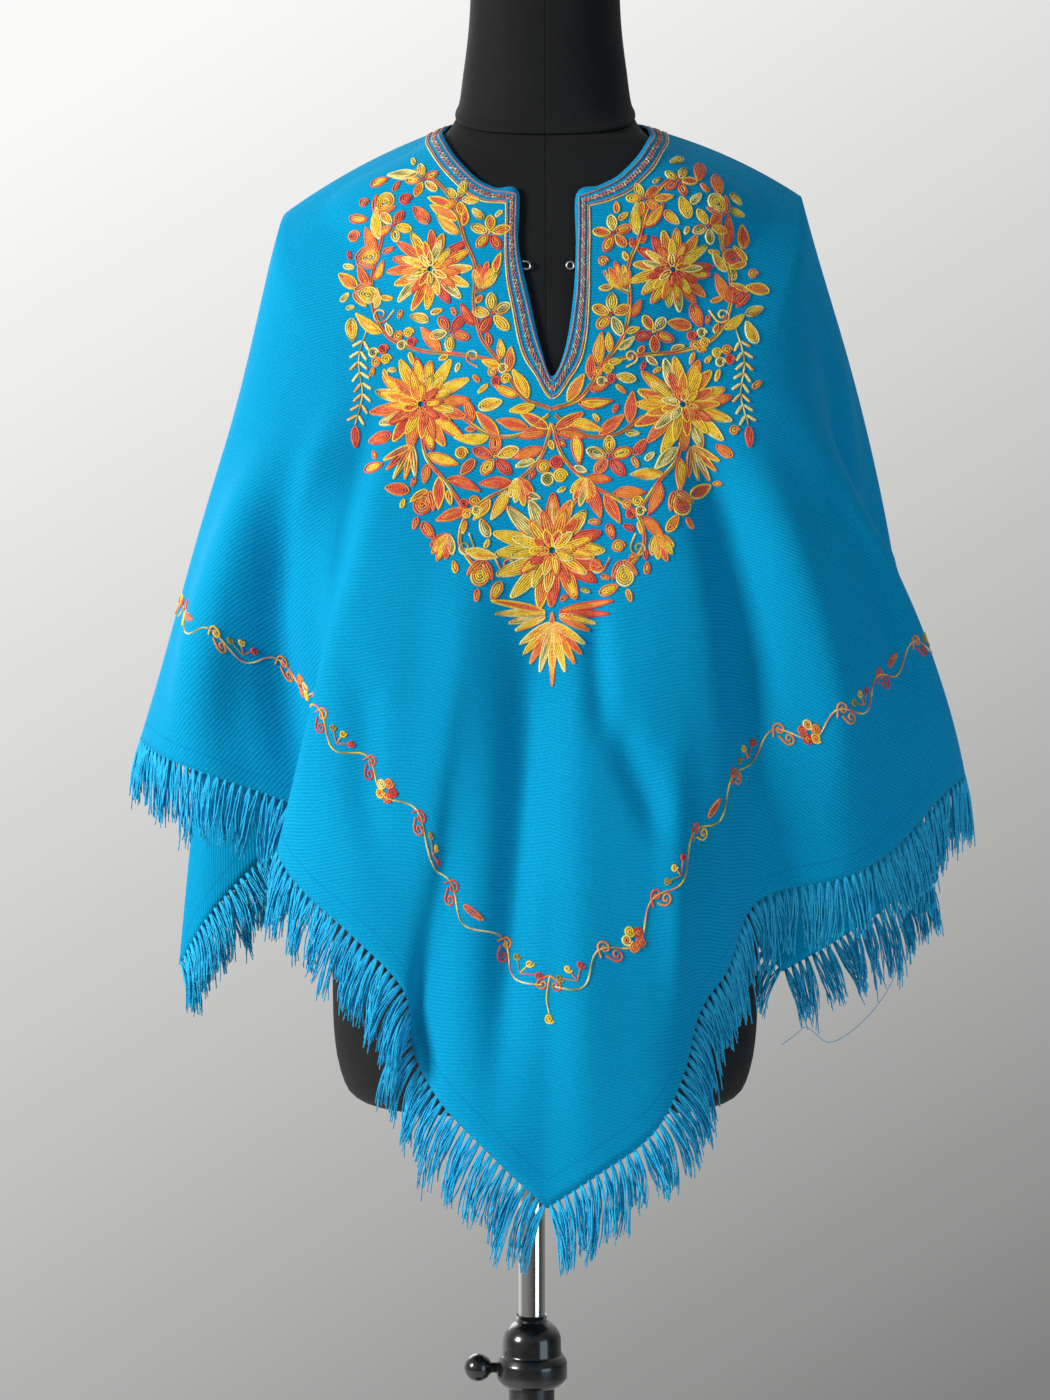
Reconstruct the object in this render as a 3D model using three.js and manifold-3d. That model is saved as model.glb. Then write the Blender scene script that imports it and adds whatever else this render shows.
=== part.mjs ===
// A square poncho with a slit neck and a fringed hem, worn over a limbless dress form on its stand.
// Millimetres, Z up. X is the viewer's right, the front faces -Y, and the origin is on the floor
// under the mast, at the centre of the stand's base.
import * as THREE from 'three';
import { mergeVertices } from 'three/addons/utils/BufferGeometryUtils.js';
import Module from 'manifold-3d';

const wasm = await Module();
wasm.setup();

// Driving dimensions
const GAP = 0.3;               // between pieces that meet
const FIGURE_OFFSET = 10;      // the form stands this far to the right of its mast
const CLOTH_WALL = 2;          // thickness of the cloth
const BODY_CLEARANCE = 2.8;    // from the form to the middle of the cloth
const COLUMNS_PER_SIDE = 30;   // cloth columns along each side of the square
const YOKE_ROWS = 5;           // cloth rows that lie on the shoulders
const FALL_ROWS = 9;           // cloth rows that hang
const LOCK_CENTRES = [0.26, 0.76];   // two fringe locks to a column
const LOCK_LENGTH = 47;
const LOCK_UNEVEN = 3;         // more or less in length, from lock to lock
const LENGTH_PITCH = 1.7;
const LOCK_SWAY = 2.5;         // more or less to the side
const SWAY_PITCH = 2.4;
const CLOTH_LEAN = 0.5;        // how far a lock follows the slant of the cloth above it
const LEAN_SHARE = 0.5;        // how far a lock falls to the open side of a fold
const MAX_LEAN = 6;
const LOCK_CLEARANCE = 4;      // from a lock's tip to the form
const LOCK_SHARE = 0.17;       // width of a lock's root, in columns
const CORNER_MARGIN = 0.07;    // from the cloth's corner to the fringe strip, in columns
const STRIP_HEIGHT = 3;        // backing strip of the fringe
const STRIP_WALL = 1.6;
const STRIP_GAP = 0.7;         // from the hem to the strip
const FORM_SIDES = 30;
const FORM_POWER = 2.3;        // how square the form's sections are
const FORM_BOTTOM = 806;
const TORSO_TOP = 1610;        // before the neck seam cuts it
const NECK_ROOT = 1484;        // before the neck seam cuts it
const NECK_THICKER = 1.2;      // the neck's cover over the form's outline
const SEAM_HEIGHT = 1545;      // neck seam above the mast axis
const SEAM_SLOPE = 0.5;        // the neck seam drops this much per mm towards the front
const NECK_TOP = 1646;
const ROUND_SIDES = 24;        // round bars and sleeves
const MAST_RADIUS = 10;
const MAST_BOTTOM = 380;
const SOCKET_BOTTOM = 596;
const SOCKET_TOP = 648;
const SOCKET_RADIUS = 22;
const COLLAR_RADIUS = 26.5;
const COLUMN_RADIUS = 17;
const COLUMN_FLOOR = 262;      // bottom of the hollow that the mast slides in
const BORE_RADIUS = 10.8;
const BASE_RADIUS = 185;
const BASE_HEIGHT = 26;
const KNOB_HEIGHT = 608;
const KNOB_RADIUS = 10.5;
const KNOB_REACH = 40;         // from the mast axis to the middle of the ball
const KNOB_CLEARANCE = 0.6;    // from the mast to the stem's tip
const BALL_STEPS = 8;
const STEM_RADIUS = 4;
const STEM_BALL_TURN = 0.16;   // where the stem enters the ball, in half turns from its near pole
const HOOK_TURN = 3.745;       // places on the slit's two edges
const EYE_TURN = 0.255;
const HOOK_SEAT = 0.5;         // from the slit's edge line to the middle of the hook's wire
const EYE_SEAT = 1.1;          // from the slit's edge line to the middle of the eye's wire
const WIRE_RADIUS = 0.7;
const EYE_RADIUS = 2.6;

// Half-width and depth of the dress form at each height
const FORM_SECTIONS = [
  { z: 806, half: 120, front: 74, back: 76 },
  { z: 809, half: 134, front: 89, back: 91 },
  { z: 816, half: 145, front: 98, back: 101 },
  { z: 828, half: 151, front: 103, back: 106 },
  { z: 844, half: 155, front: 107, back: 110 },
  { z: 870, half: 157.5, front: 109, back: 112 },
  { z: 930, half: 158, front: 109, back: 113 },
  { z: 990, half: 156, front: 107, back: 110 },
  { z: 1055, half: 136, front: 98, back: 94 },
  { z: 1125, half: 119, front: 91, back: 82 },
  { z: 1200, half: 127, front: 97, back: 86 },
  { z: 1270, half: 140, front: 108, back: 94 },
  { z: 1320, half: 148, front: 111, back: 99 },
  { z: 1370, half: 157, front: 104, back: 99 },
  { z: 1415, half: 167, front: 94, back: 94 },
  { z: 1448, half: 174, front: 84, back: 87 },
  { z: 1468, half: 168, front: 77, back: 82 },
  { z: 1484, half: 148, front: 72, back: 78 },
  { z: 1498, half: 120, front: 67, back: 74 },
  { z: 1511, half: 95, front: 63, back: 70 },
  { z: 1524, half: 76, front: 59, back: 66 },
  { z: 1540, half: 65.5, front: 56, back: 61 },
  { z: 1575, half: 59.5, front: 53, back: 56 },
  { z: 1610, half: 55.5, front: 51, back: 52 },
  { z: 1646, half: 54, front: 50, back: 50 },
];

// Rings of the cloth. turn runs once round the square: 0 is the front corner, 1 the right corner,
// 2 the back corner, 3 the left corner and 4 the front corner again.
const NECK_EDGE = [
  { turn: 0, x: 4, y: -112, z: 1333 },
  { turn: 0.1, x: 13, y: -108, z: 1352 },
  { turn: 0.2, x: 19, y: -99, z: 1390 },
  { turn: 0.29, x: 21, y: -88, z: 1428 },
  { turn: 0.37, x: 21.5, y: -77, z: 1466 },
  { turn: 0.48, x: 38, y: -76, z: 1474 },
  { turn: 0.62, x: 54, y: -71, z: 1484 },
  { turn: 0.8, x: 70, y: -53, z: 1505 },
  { turn: 1, x: 77, y: 0, z: 1531 },
  { turn: 1.35, x: 66, y: 42, z: 1545 },
  { turn: 1.7, x: 36, y: 64, z: 1549 },
  { turn: 2, x: 0, y: 70, z: 1550 },
  { turn: 2.3, x: -36, y: 64, z: 1549 },
  { turn: 2.65, x: -64, y: 42, z: 1545 },
  { turn: 3, x: -74, y: 0, z: 1531 },
  { turn: 3.2, x: -69, y: -53, z: 1505 },
  { turn: 3.38, x: -52, y: -71, z: 1482 },
  { turn: 3.52, x: -36, y: -76, z: 1472 },
  { turn: 3.63, x: -19.5, y: -77, z: 1468 },
  { turn: 3.71, x: -19.5, y: -88, z: 1428 },
  { turn: 3.8, x: -12, y: -99, z: 1390 },
  { turn: 3.9, x: -4, y: -108, z: 1354 },
  { turn: 4, x: 4, y: -112, z: 1333 },
];

const CHEST_RING = [
  { turn: 0, x: 4, y: -118, z: 1262 },
  { turn: 0.25, x: 82, y: -112, z: 1290 },
  { turn: 0.5, x: 150, y: -84, z: 1352 },
  { turn: 0.75, x: 187, y: -42, z: 1432 },
  { turn: 1, x: 190, y: 2, z: 1482 },
  { turn: 1.25, x: 188, y: 46, z: 1440 },
  { turn: 1.5, x: 150, y: 88, z: 1376 },
  { turn: 1.75, x: 82, y: 108, z: 1330 },
  { turn: 2, x: 0, y: 112, z: 1310 },
  { turn: 2.25, x: -82, y: 108, z: 1330 },
  { turn: 2.5, x: -150, y: 88, z: 1370 },
  { turn: 2.75, x: -190, y: 46, z: 1434 },
  { turn: 3, x: -192, y: 2, z: 1470 },
  { turn: 3.25, x: -194, y: -42, z: 1427 },
  { turn: 3.5, x: -153, y: -84, z: 1352 },
  { turn: 3.75, x: -78, y: -112, z: 1290 },
  { turn: 4, x: 4, y: -118, z: 1262 },
];

// The hem, side by side: crests and troughs of the folds as they hang, corner to corner
const HEM_FRONT_RIGHT = [
  { x: 0, y: -167, z: 760 },
  { x: 32, y: -168, z: 781 },
  { x: 73, y: -160, z: 810 },
  { x: 93, y: -150, z: 846 },
  { x: 106, y: -138, z: 891 },
  { x: 126, y: -124, z: 918 },
  { x: 143, y: -104, z: 958 },
  { x: 162, y: -98, z: 970 },
  { x: 211, y: -96, z: 980 },
  { x: 247, y: -78, z: 998 },
  { x: 290, y: -42, z: 1037 },
  { x: 310, y: -16, z: 1050 },
  { x: 304, y: 14, z: 1047 },
  { x: 245, y: 24, z: 1032 },
  { x: 184, y: 30, z: 1018 },
  { x: 163, y: 42, z: 1011 },
  { x: 168, y: 56, z: 1006 },
  { x: 206, y: 64, z: 1004 },
  { x: 262, y: 57, z: 1012 },
  { x: 286, y: 66, z: 1003 },
  { x: 293, y: 82, z: 984 },
  { x: 276, y: 98, z: 950 },
  { x: 232, y: 104, z: 918 },
  { x: 188, y: 108, z: 892 },
];

const HEM_BACK_RIGHT = [
  { x: 188, y: 108, z: 892 },
  { x: 150, y: 116, z: 936 },
  { x: 131, y: 125, z: 968 },
  { x: 137, y: 138, z: 992 },
  { x: 190, y: 144, z: 1012 },
  { x: 260, y: 148, z: 1030 },
  { x: 280, y: 176, z: 1027 },
  { x: 236, y: 196, z: 1014 },
  { x: 182, y: 180, z: 1004 },
  { x: 152, y: 170, z: 997 },
  { x: 141, y: 182, z: 989 },
  { x: 158, y: 206, z: 979 },
  { x: 204, y: 232, z: 966 },
  { x: 190, y: 256, z: 952 },
  { x: 142, y: 240, z: 936 },
  { x: 104, y: 188, z: 920 },
  { x: 82, y: 160, z: 906 },
  { x: 76, y: 190, z: 890 },
  { x: 78, y: 226, z: 876 },
  { x: 54, y: 234, z: 860 },
  { x: 26, y: 204, z: 842 },
  { x: 0, y: 186, z: 824 },
];

const HEM_BACK_LEFT = [
  { x: 0, y: 186, z: 824 },
  { x: -30, y: 210, z: 844 },
  { x: -64, y: 228, z: 866 },
  { x: -84, y: 208, z: 886 },
  { x: -78, y: 162, z: 900 },
  { x: -102, y: 166, z: 916 },
  { x: -150, y: 216, z: 936 },
  { x: -196, y: 244, z: 958 },
  { x: -214, y: 222, z: 972 },
  { x: -182, y: 184, z: 984 },
  { x: -154, y: 158, z: 992 },
  { x: -152, y: 142, z: 1000 },
  { x: -190, y: 147, z: 1012 },
  { x: -244, y: 176, z: 1026 },
  { x: -276, y: 184, z: 1032 },
  { x: -278, y: 162, z: 1026 },
  { x: -222, y: 138, z: 1008 },
  { x: -214, y: 126, z: 986 },
  { x: -262, y: 124, z: 940 },
  { x: -286, y: 100, z: 898 },
];

const HEM_FRONT_LEFT = [
  { x: -286, y: 100, z: 898 },
  { x: -262, y: 82, z: 936 },
  { x: -226, y: 76, z: 976 },
  { x: -184, y: 80, z: 1009 },
  { x: -158, y: 80, z: 1027 },
  { x: -150, y: 70, z: 1037 },
  { x: -164, y: 59, z: 1044 },
  { x: -212, y: 50, z: 1053 },
  { x: -280, y: 44, z: 1070 },
  { x: -302, y: 10, z: 1078 },
  { x: -286, y: -34, z: 1068 },
  { x: -252, y: -62, z: 1055 },
  { x: -206, y: -58, z: 1039 },
  { x: -162, y: -57, z: 1023 },
  { x: -126, y: -70, z: 1011 },
  { x: -104, y: -90, z: 1003 },
  { x: -116, y: -105, z: 1000 },
  { x: -158, y: -95, z: 1006 },
  { x: -189, y: -106, z: 1003 },
  { x: -172, y: -128, z: 976 },
  { x: -134, y: -148, z: 944 },
  { x: -98, y: -152, z: 906 },
  { x: -92, y: -140, z: 864 },
  { x: -72, y: -158, z: 830 },
  { x: -38, y: -170, z: 796 },
  { x: 0, y: -167, z: 760 },
];

// The smooth outline of the cloth half-way down, and how its folds fade upwards from the hem
const MID_OUTLINE = { half: 241, front: 148, back: 154 };
const MID_RAISE = 4;
const SMOOTH_STEPS = 6;
const SMOOTH_PITCH = 0.036;    // turn between the hem places that are averaged
const OVERLAP_FADE = 3.4;
const SHOULDER_RISE = 6;       // how far the shoulders bulge between the neck and the chest ring

// How fast the folds fade upwards from the hem: slowest at the back, where nothing holds the cloth
const DEPTH_FADE = [
  { turn: 0, power: 1.7 },
  { turn: 0.5, power: 1.6 },
  { turn: 0.85, power: 1.65 },
  { turn: 1.3, power: 1.3 },
  { turn: 2, power: 1.05 },
  { turn: 2.7, power: 1.3 },
  { turn: 3.05, power: 1.7 },
  { turn: 3.35, power: 2.75 },
  { turn: 3.6, power: 2 },
  { turn: 4, power: 1.7 },
];

// The neck cap's section: out from the neck's outline and up from its top
const CAP_PROFILE = [
  { out: 1.2, up: 0.3 },
  { out: 1.8, up: 2 },
  { out: 1, up: 5 },
  { out: -3, up: 7 },
];

// Turned profiles, upwards from their lowest point
const BASE_PROFILE = [
  { radius: 0, up: 0 },
  { radius: BASE_RADIUS - 2, up: 0 },
  { radius: BASE_RADIUS, up: 3 },
  { radius: BASE_RADIUS - 2, up: 9 },
  { radius: BASE_RADIUS - 40, up: 13 },
  { radius: 60, up: 18 },
  { radius: 30, up: 22 },
  { radius: 24, up: BASE_HEIGHT },
  { radius: 0, up: BASE_HEIGHT },
];

const SOCKET_HEIGHT = SOCKET_TOP - SOCKET_BOTTOM;
const SOCKET_PROFILE = [
  { radius: BORE_RADIUS, up: 0 },
  { radius: COLLAR_RADIUS - 3, up: 0 },
  { radius: COLLAR_RADIUS, up: 4 },
  { radius: COLLAR_RADIUS, up: 18 },
  { radius: COLLAR_RADIUS - 3, up: 22 },
  { radius: SOCKET_RADIUS, up: 24 },
  { radius: SOCKET_RADIUS, up: SOCKET_HEIGHT - 20 },
  { radius: SOCKET_RADIUS - 2, up: SOCKET_HEIGHT - 11 },
  { radius: SOCKET_RADIUS - 6, up: SOCKET_HEIGHT - 4 },
  { radius: BORE_RADIUS + 2, up: SOCKET_HEIGHT },
  { radius: BORE_RADIUS, up: SOCKET_HEIGHT - 1 },
  { radius: BORE_RADIUS, up: 0 },
];

// The hook's bent wire, from its foot at the slit's edge
const HOOK_PATH = [
  { x: 0, z: 3 },
  { x: 3.5, z: 2.6 },
  { x: 5.4, z: 0.6 },
  { x: 5, z: -1.6 },
  { x: 2.8, z: -2.6 },
  { x: 0.8, z: -2 },
];

const materials = {
  cloth: { color: '#009fd8', roughness: 0.85, metalness: 0 },
  fringe: { color: '#1590cc', roughness: 0.9, metalness: 0 },
  hook: { color: '#c4c6c8', roughness: 0.3, metalness: 1 },
  jersey: { color: '#15161a', roughness: 0.9, metalness: 0 },
  chrome: { color: '#d0cec8', roughness: 0.12, metalness: 1 },
  plastic: { color: '#08090a', roughness: 0.2, metalness: 0 },
  stand: { color: '#141415', roughness: 0.35, metalness: 0.2 },
};

function mesh(name, geometry, look) {
  const piece = new THREE.Mesh(geometry, new THREE.MeshStandardMaterial(materials[look]));
  piece.name = name;
  return piece;
}

// Curves through the tables

function hermite(before, from, to, after, keys, key, share) {
  const span = to[key] - from[key];
  const value = {};
  for (const name of keys) {
    const slope = (to[name] - from[name]) / span;
    const startSlope = before ? (to[name] - before[name]) / (to[key] - before[key]) : slope;
    const endSlope = after ? (after[name] - from[name]) / (after[key] - from[key]) : slope;
    const s2 = share * share;
    const s3 = s2 * share;
    value[name] = (2 * s3 - 3 * s2 + 1) * from[name] + (s3 - 2 * s2 + share) * span * startSlope
      + (3 * s2 - 2 * s3) * to[name] + (s3 - s2) * span * endSlope;
  }
  return value;
}

function lookUp(rows, key, keys, at) {
  let row = 0;
  while (row < rows.length - 2 && rows[row + 1][key] < at) {
    row += 1;
  }
  const from = rows[row];
  const to = rows[row + 1];
  const share = (at - from[key]) / (to[key] - from[key]);
  return hermite(rows[row - 1], from, to, rows[row + 2], keys, key, share);
}

// A ring that closes on itself smoothly gets a copied row at each end
function closeRing(rows) {
  const last = rows.length - 1;
  const first = { ...rows[last - 1], turn: rows[last - 1].turn - 4 };
  const after = { ...rows[1], turn: rows[1].turn + 4 };
  return [first, ...rows, after];
}

function withDistance(rows, start) {
  const reach = [0];
  for (let row = 1; row < rows.length; row += 1) {
    const step = Math.hypot(
      rows[row].x - rows[row - 1].x, rows[row].y - rows[row - 1].y, rows[row].z - rows[row - 1].z);
    reach.push(reach[row - 1] + step);
  }
  const whole = reach[rows.length - 1];
  return rows.map((point, row) => ({ ...point, turn: start + reach[row] / whole }));
}

const PLACE = ['x', 'y', 'z'];
const neckRows = closeRing(NECK_EDGE);
const chestRows = closeRing(CHEST_RING);
const fadeRows = closeRing(DEPTH_FADE);
const hemSides = [HEM_FRONT_RIGHT, HEM_BACK_RIGHT, HEM_BACK_LEFT, HEM_FRONT_LEFT].map(withDistance);

function vector(place) {
  return new THREE.Vector3(place.x, place.y, place.z);
}

function neckAt(turn) {
  return vector(lookUp(neckRows, 'turn', PLACE, turn));
}

function chestAt(turn) {
  return vector(lookUp(chestRows, 'turn', PLACE, turn));
}

function hemAt(turn) {
  const side = Math.min(Math.floor(turn), 3);
  return vector(lookUp(hemSides[side], 'turn', PLACE, turn));
}

// Distance from the axis to an oval outline, towards an angle
function outlineReach(outline, angle) {
  const depth = Math.sin(angle) < 0 ? outline.front : outline.back;
  const across = Math.abs(Math.cos(angle)) / outline.half;
  const along = Math.abs(Math.sin(angle)) / depth;
  return (across ** FORM_POWER + along ** FORM_POWER) ** (-1 / FORM_POWER);
}

// The hem with its folds smoothed out sideways
function smoothHemAt(turn) {
  const middle = hemAt(turn);
  const place = new THREE.Vector3(0, 0, 0);
  for (let step = -SMOOTH_STEPS; step <= SMOOTH_STEPS; step += 1) {
    place.add(hemAt((turn + 4 + step * SMOOTH_PITCH) % 4));
  }
  return place.divideScalar(2 * SMOOTH_STEPS + 1).setZ(middle.z);
}

function midAt(turn) {
  const chest = chestAt(turn);
  const hem = smoothHemAt(turn);
  const chestAngle = Math.atan2(chest.y, chest.x);
  let sweep = Math.atan2(hem.y, hem.x) - chestAngle;
  sweep -= 2 * Math.PI * Math.round(sweep / (2 * Math.PI));
  const angle = chestAngle + sweep / 2;
  const reach = outlineReach(MID_OUTLINE, angle);
  return new THREE.Vector3(
    Math.cos(angle) * reach, Math.sin(angle) * reach, (chest.z + hem.z) / 2 + MID_RAISE);
}

// The dress form's surface

function formSection(z) {
  const height = Math.min(Math.max(z, FORM_BOTTOM), NECK_TOP);
  return lookUp(FORM_SECTIONS, 'z', ['half', 'front', 'back'], height);
}

function formExcess(point) {
  const section = formSection(point.z);
  const depth = point.y < 0 ? section.front : section.back;
  const across = Math.abs(point.x) / section.half;
  const along = Math.abs(point.y) / depth;
  return (across ** FORM_POWER + along ** FORM_POWER) ** (1 / FORM_POWER) - 1;
}

// Moves a point outwards until it is the clearance away from the form
function offForm(point, clearance) {
  const probe = 0.5;
  const passes = 4;
  const longestMove = 40;
  for (let pass = 0; pass < passes; pass += 1) {
    const here = formExcess(point);
    const slope = new THREE.Vector3(
      formExcess(point.clone().setX(point.x + probe)) - here,
      formExcess(point.clone().setY(point.y + probe)) - here,
      formExcess(point.clone().setZ(point.z + probe)) - here).divideScalar(probe);
    const steepness = Math.max(slope.length(), 1e-4);
    const missing = clearance - here / steepness;
    if (missing > 0) {
      point.addScaledVector(slope, Math.min(missing, longestMove) / steepness);
    }
  }
  return point;
}

// The cloth's middle surface. down is 0 at the neck edge, 1 at the chest ring and 2 at the hem.
function clothAt(turn, down) {
  const neck = neckAt(turn);
  const chest = chestAt(turn);
  if (down <= 1) {
    const point = neck.lerp(chest, down);
    const aside = Math.sin(turn * Math.PI / 2) ** 2;
    point.z += SHOULDER_RISE * aside * 4 * down * (1 - down);
    return offForm(point, BODY_CLEARANCE);
  }
  const mid = midAt(turn);
  const hem = smoothHemAt(turn);
  const fold = hemAt(turn).sub(hem);
  const fall = down - 1;
  const early = 2 * (fall - 0.5) * (fall - 1);
  const middle = 4 * fall * (1 - fall);
  const late = 2 * fall * (fall - 0.5);
  const point = chest.multiplyScalar(early).addScaledVector(mid, middle).addScaledVector(hem, late);
  const outwards = hem.clone().setZ(0).normalize();
  const depth = fold.dot(outwards);
  const fade = lookUp(fadeRows, 'turn', ['power'], turn).power;
  const sideways = fold.addScaledVector(outwards, -depth);
  point.addScaledVector(outwards, depth * fall ** fade);
  point.addScaledVector(sideways, fall ** OVERLAP_FADE);
  return offForm(point, BODY_CLEARANCE);
}

function clothGrid() {
  const rows = [];
  const downs = [];
  for (let row = 0; row < YOKE_ROWS; row += 1) {
    downs.push(row / YOKE_ROWS);
  }
  for (let row = 0; row <= FALL_ROWS; row += 1) {
    downs.push(1 + row / FALL_ROWS);
  }
  const count = 4 * COLUMNS_PER_SIDE;
  for (const down of downs) {
    const ring = [];
    for (let column = 0; column < count; column += 1) {
      ring.push(clothAt(column / COLUMNS_PER_SIDE, down));
    }
    rows.push(ring);
  }
  return rows;
}

function gridNormals(grid) {
  const count = grid[0].length;
  return grid.map((ring, row) => ring.map((point, column) => {
    const above = grid[Math.max(row - 1, 0)][column];
    const below = grid[Math.min(row + 1, grid.length - 1)][column];
    const before = ring[(column + count - 1) % count];
    const after = ring[(column + 1) % count];
    const down = below.clone().sub(above);
    return after.clone().sub(before).cross(down).normalize().negate();
  }));
}

function faceted(points, triangles) {
  const geometry = new THREE.BufferGeometry();
  const values = new Float32Array(points.flatMap((point) => [point.x, point.y, point.z]));
  geometry.setAttribute('position', new THREE.BufferAttribute(values, 3));
  geometry.setIndex(triangles.flat());
  return geometry;
}

const clothRows = clothGrid();
const clothNormals = gridNormals(clothRows);

function clothWall() {
  const rows = clothRows.length;
  const count = clothRows[0].length;
  const points = [];
  for (const side of [1, -1]) {
    clothRows.forEach((ring, row) => ring.forEach((point, column) => {
      const out = clothNormals[row][column];
      points.push(point.clone().addScaledVector(out, side * CLOTH_WALL / 2));
    }));
  }
  const inner = rows * count;
  const hem = (rows - 1) * count;
  const triangles = [];
  for (let column = 0; column < count; column += 1) {
    const next = (column + 1) % count;
    for (let row = 0; row < rows - 1; row += 1) {
      const a = row * count + column;
      const b = row * count + next;
      const c = a + count;
      const d = b + count;
      triangles.push([a, c, d], [a, d, b]);
      triangles.push([inner + a, inner + d, inner + c], [inner + a, inner + b, inner + d]);
    }
    triangles.push([column, next, inner + next], [column, inner + next, inner + column]);
    triangles.push([hem + column, inner + hem + next, hem + next]);
    triangles.push([hem + column, inner + hem + column, inner + hem + next]);
  }
  return faceted(points, triangles);
}

// Locks fall to the open side of a fold: outwards round a crest and inwards in a trough
function foldLean(column) {
  const count = clothRows[0].length;
  const hem = clothRows[clothRows.length - 1];
  const at = column % count;
  const bend = hem[(at + 1) % count].clone().add(hem[(at + count - 1) % count]);
  bend.addScaledVector(hem[at], -2).setZ(0);
  const lean = bend.multiplyScalar(-LEAN_SHARE);
  return lean.clampLength(0, MAX_LEAN);
}

// The three edges of the backing strip under one cloth column: outer, inner and lowest
function stripSection(column) {
  const count = clothRows[0].length;
  const rows = clothRows.length;
  const at = column % count;
  const hem = clothRows[rows - 1][at];
  const out = clothNormals[rows - 1][at];
  const down = hem.clone().sub(clothRows[rows - 2][at]);
  const ahead = clothRows[rows - 1][(at + 1) % count].clone().sub(hem);
  const behind = clothRows[rows - 1][(at + count - 1) % count].clone().sub(hem);
  const away = out.clone().cross(ahead.clone().sub(behind)).normalize();
  away.multiplyScalar(Math.sign(away.dot(down)));
  if (at % COLUMNS_PER_SIDE === 0) {
    away.copy(ahead).add(behind).negate();
    away.addScaledVector(out, -away.dot(out)).normalize();
  }
  const top = hem.clone().addScaledVector(away, STRIP_GAP);
  const fall = away.clone().multiplyScalar(CLOTH_LEAN).add(new THREE.Vector3(0, 0, -1)).normalize();
  return [
    top.clone().addScaledVector(out, STRIP_WALL / 2),
    top.clone().addScaledVector(out, -STRIP_WALL / 2),
    top.clone().addScaledVector(fall, STRIP_HEIGHT),
  ];
}

// One side's fringe: a backing strip that follows the hem, with two tapered locks to a column
function fringe(side) {
  const points = [];
  const triangles = [];
  const quad = (a, b, c, d) => {
    triangles.push([a, c, b], [a, d, c]);
  };
  const addSection = (from, to, share) => {
    from.forEach((point, corner) => points.push(point.clone().lerp(to[corner], share)));
    return points.length - 3;
  };
  const joinGap = (from, to) => {
    quad(from, from + 1, to + 1, to);
    quad(from + 1, from + 2, to + 2, to + 1);
    quad(from + 2, from, to, to + 2);
  };
  const joinLock = (from, to, lock, lean) => {
    const sway = LOCK_SWAY * Math.sin(SWAY_PITCH * lock + side);
    const hang = LOCK_LENGTH + LOCK_UNEVEN * Math.sin(LENGTH_PITCH * lock);
    const root = points[from + 2].clone().lerp(points[to + 2], 0.5);
    const above = points[from].clone().add(points[to + 1]).divideScalar(2);
    const fall = root.clone().sub(above).normalize();
    root.addScaledVector(fall, hang).add(new THREE.Vector3(sway, sway / 2, 0)).add(lean);
    points.push(offForm(root, LOCK_CLEARANCE));
    const tip = points.length - 1;
    quad(from, from + 1, to + 1, to);
    triangles.push([from + 1, to + 1, tip], [from, tip, to]);
    triangles.push([from + 1, tip, from + 2], [from + 2, tip, from]);
    triangles.push([to + 1, to + 2, tip], [to + 2, to, tip]);
  };
  const first = side * COLUMNS_PER_SIDE;
  let before = null;
  let lock = 0;
  for (let column = first; column < first + COLUMNS_PER_SIDE; column += 1) {
    const from = stripSection(column);
    const to = stripSection(column + 1);
    const isLast = column === first + COLUMNS_PER_SIDE - 1;
    if (before === null) {
      before = addSection(from, to, CORNER_MARGIN);
      triangles.push([before, before + 1, before + 2]);
    }
    for (const centre of LOCK_CENTRES) {
      const left = addSection(from, to, centre - LOCK_SHARE / 2);
      joinGap(before, left);
      before = addSection(from, to, centre + LOCK_SHARE / 2);
      joinLock(left, before, lock, foldLean(column).lerp(foldLean(column + 1), centre));
      lock += 1;
    }
    const end = addSection(from, to, isLast ? 1 - CORNER_MARGIN : 1);
    joinGap(before, end);
    before = end;
  }
  triangles.push([before, before + 2, before + 1]);
  return faceted(points, triangles);
}

// Solids of the form

function rings(levels, sides) {
  const points = [];
  const triangles = [];
  for (const level of levels) {
    for (let side = 0; side < sides; side += 1) {
      points.push(level(2 * Math.PI * side / sides));
    }
  }
  for (let row = 0; row < levels.length - 1; row += 1) {
    for (let side = 0; side < sides; side += 1) {
      const a = row * sides + side;
      const b = row * sides + (side + 1) % sides;
      triangles.push([a, b, b + sides], [a, b + sides, a + sides]);
    }
  }
  const top = (levels.length - 1) * sides;
  for (let side = 1; side < sides - 1; side += 1) {
    triangles.push([0, side + 1, side], [top, top + side, top + side + 1]);
  }
  return faceted(points, triangles);
}

function formLevel(z, grow) {
  const section = formSection(z);
  return (angle) => {
    const reach = outlineReach(section, angle) + grow;
    return new THREE.Vector3(reach * Math.cos(angle), reach * Math.sin(angle), z);
  };
}

function formSolid(bottom, top, grow) {
  const heights = FORM_SECTIONS.map((row) => row.z).filter((z) => z > bottom + 1 && z < top - 1);
  const levels = [bottom, ...heights, top].map((z) => formLevel(z, grow));
  return rings(levels, FORM_SIDES);
}

function toManifold(geometry) {
  const plain = geometry.clone();
  plain.deleteAttribute('normal');
  plain.deleteAttribute('uv');
  const merged = mergeVertices(plain, 1e-4);
  return new wasm.Manifold(new wasm.Mesh({
    numProp: 3,
    vertProperties: new Float32Array(merged.attributes.position.array),
    triVerts: new Uint32Array(merged.index.array),
  }));
}

function fromManifold(solid) {
  const result = solid.getMesh();
  const geometry = new THREE.BufferGeometry();
  geometry.setAttribute('position', new THREE.BufferAttribute(result.vertProperties, 3));
  geometry.setIndex(new THREE.BufferAttribute(result.triVerts, 1));
  return geometry;
}

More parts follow.
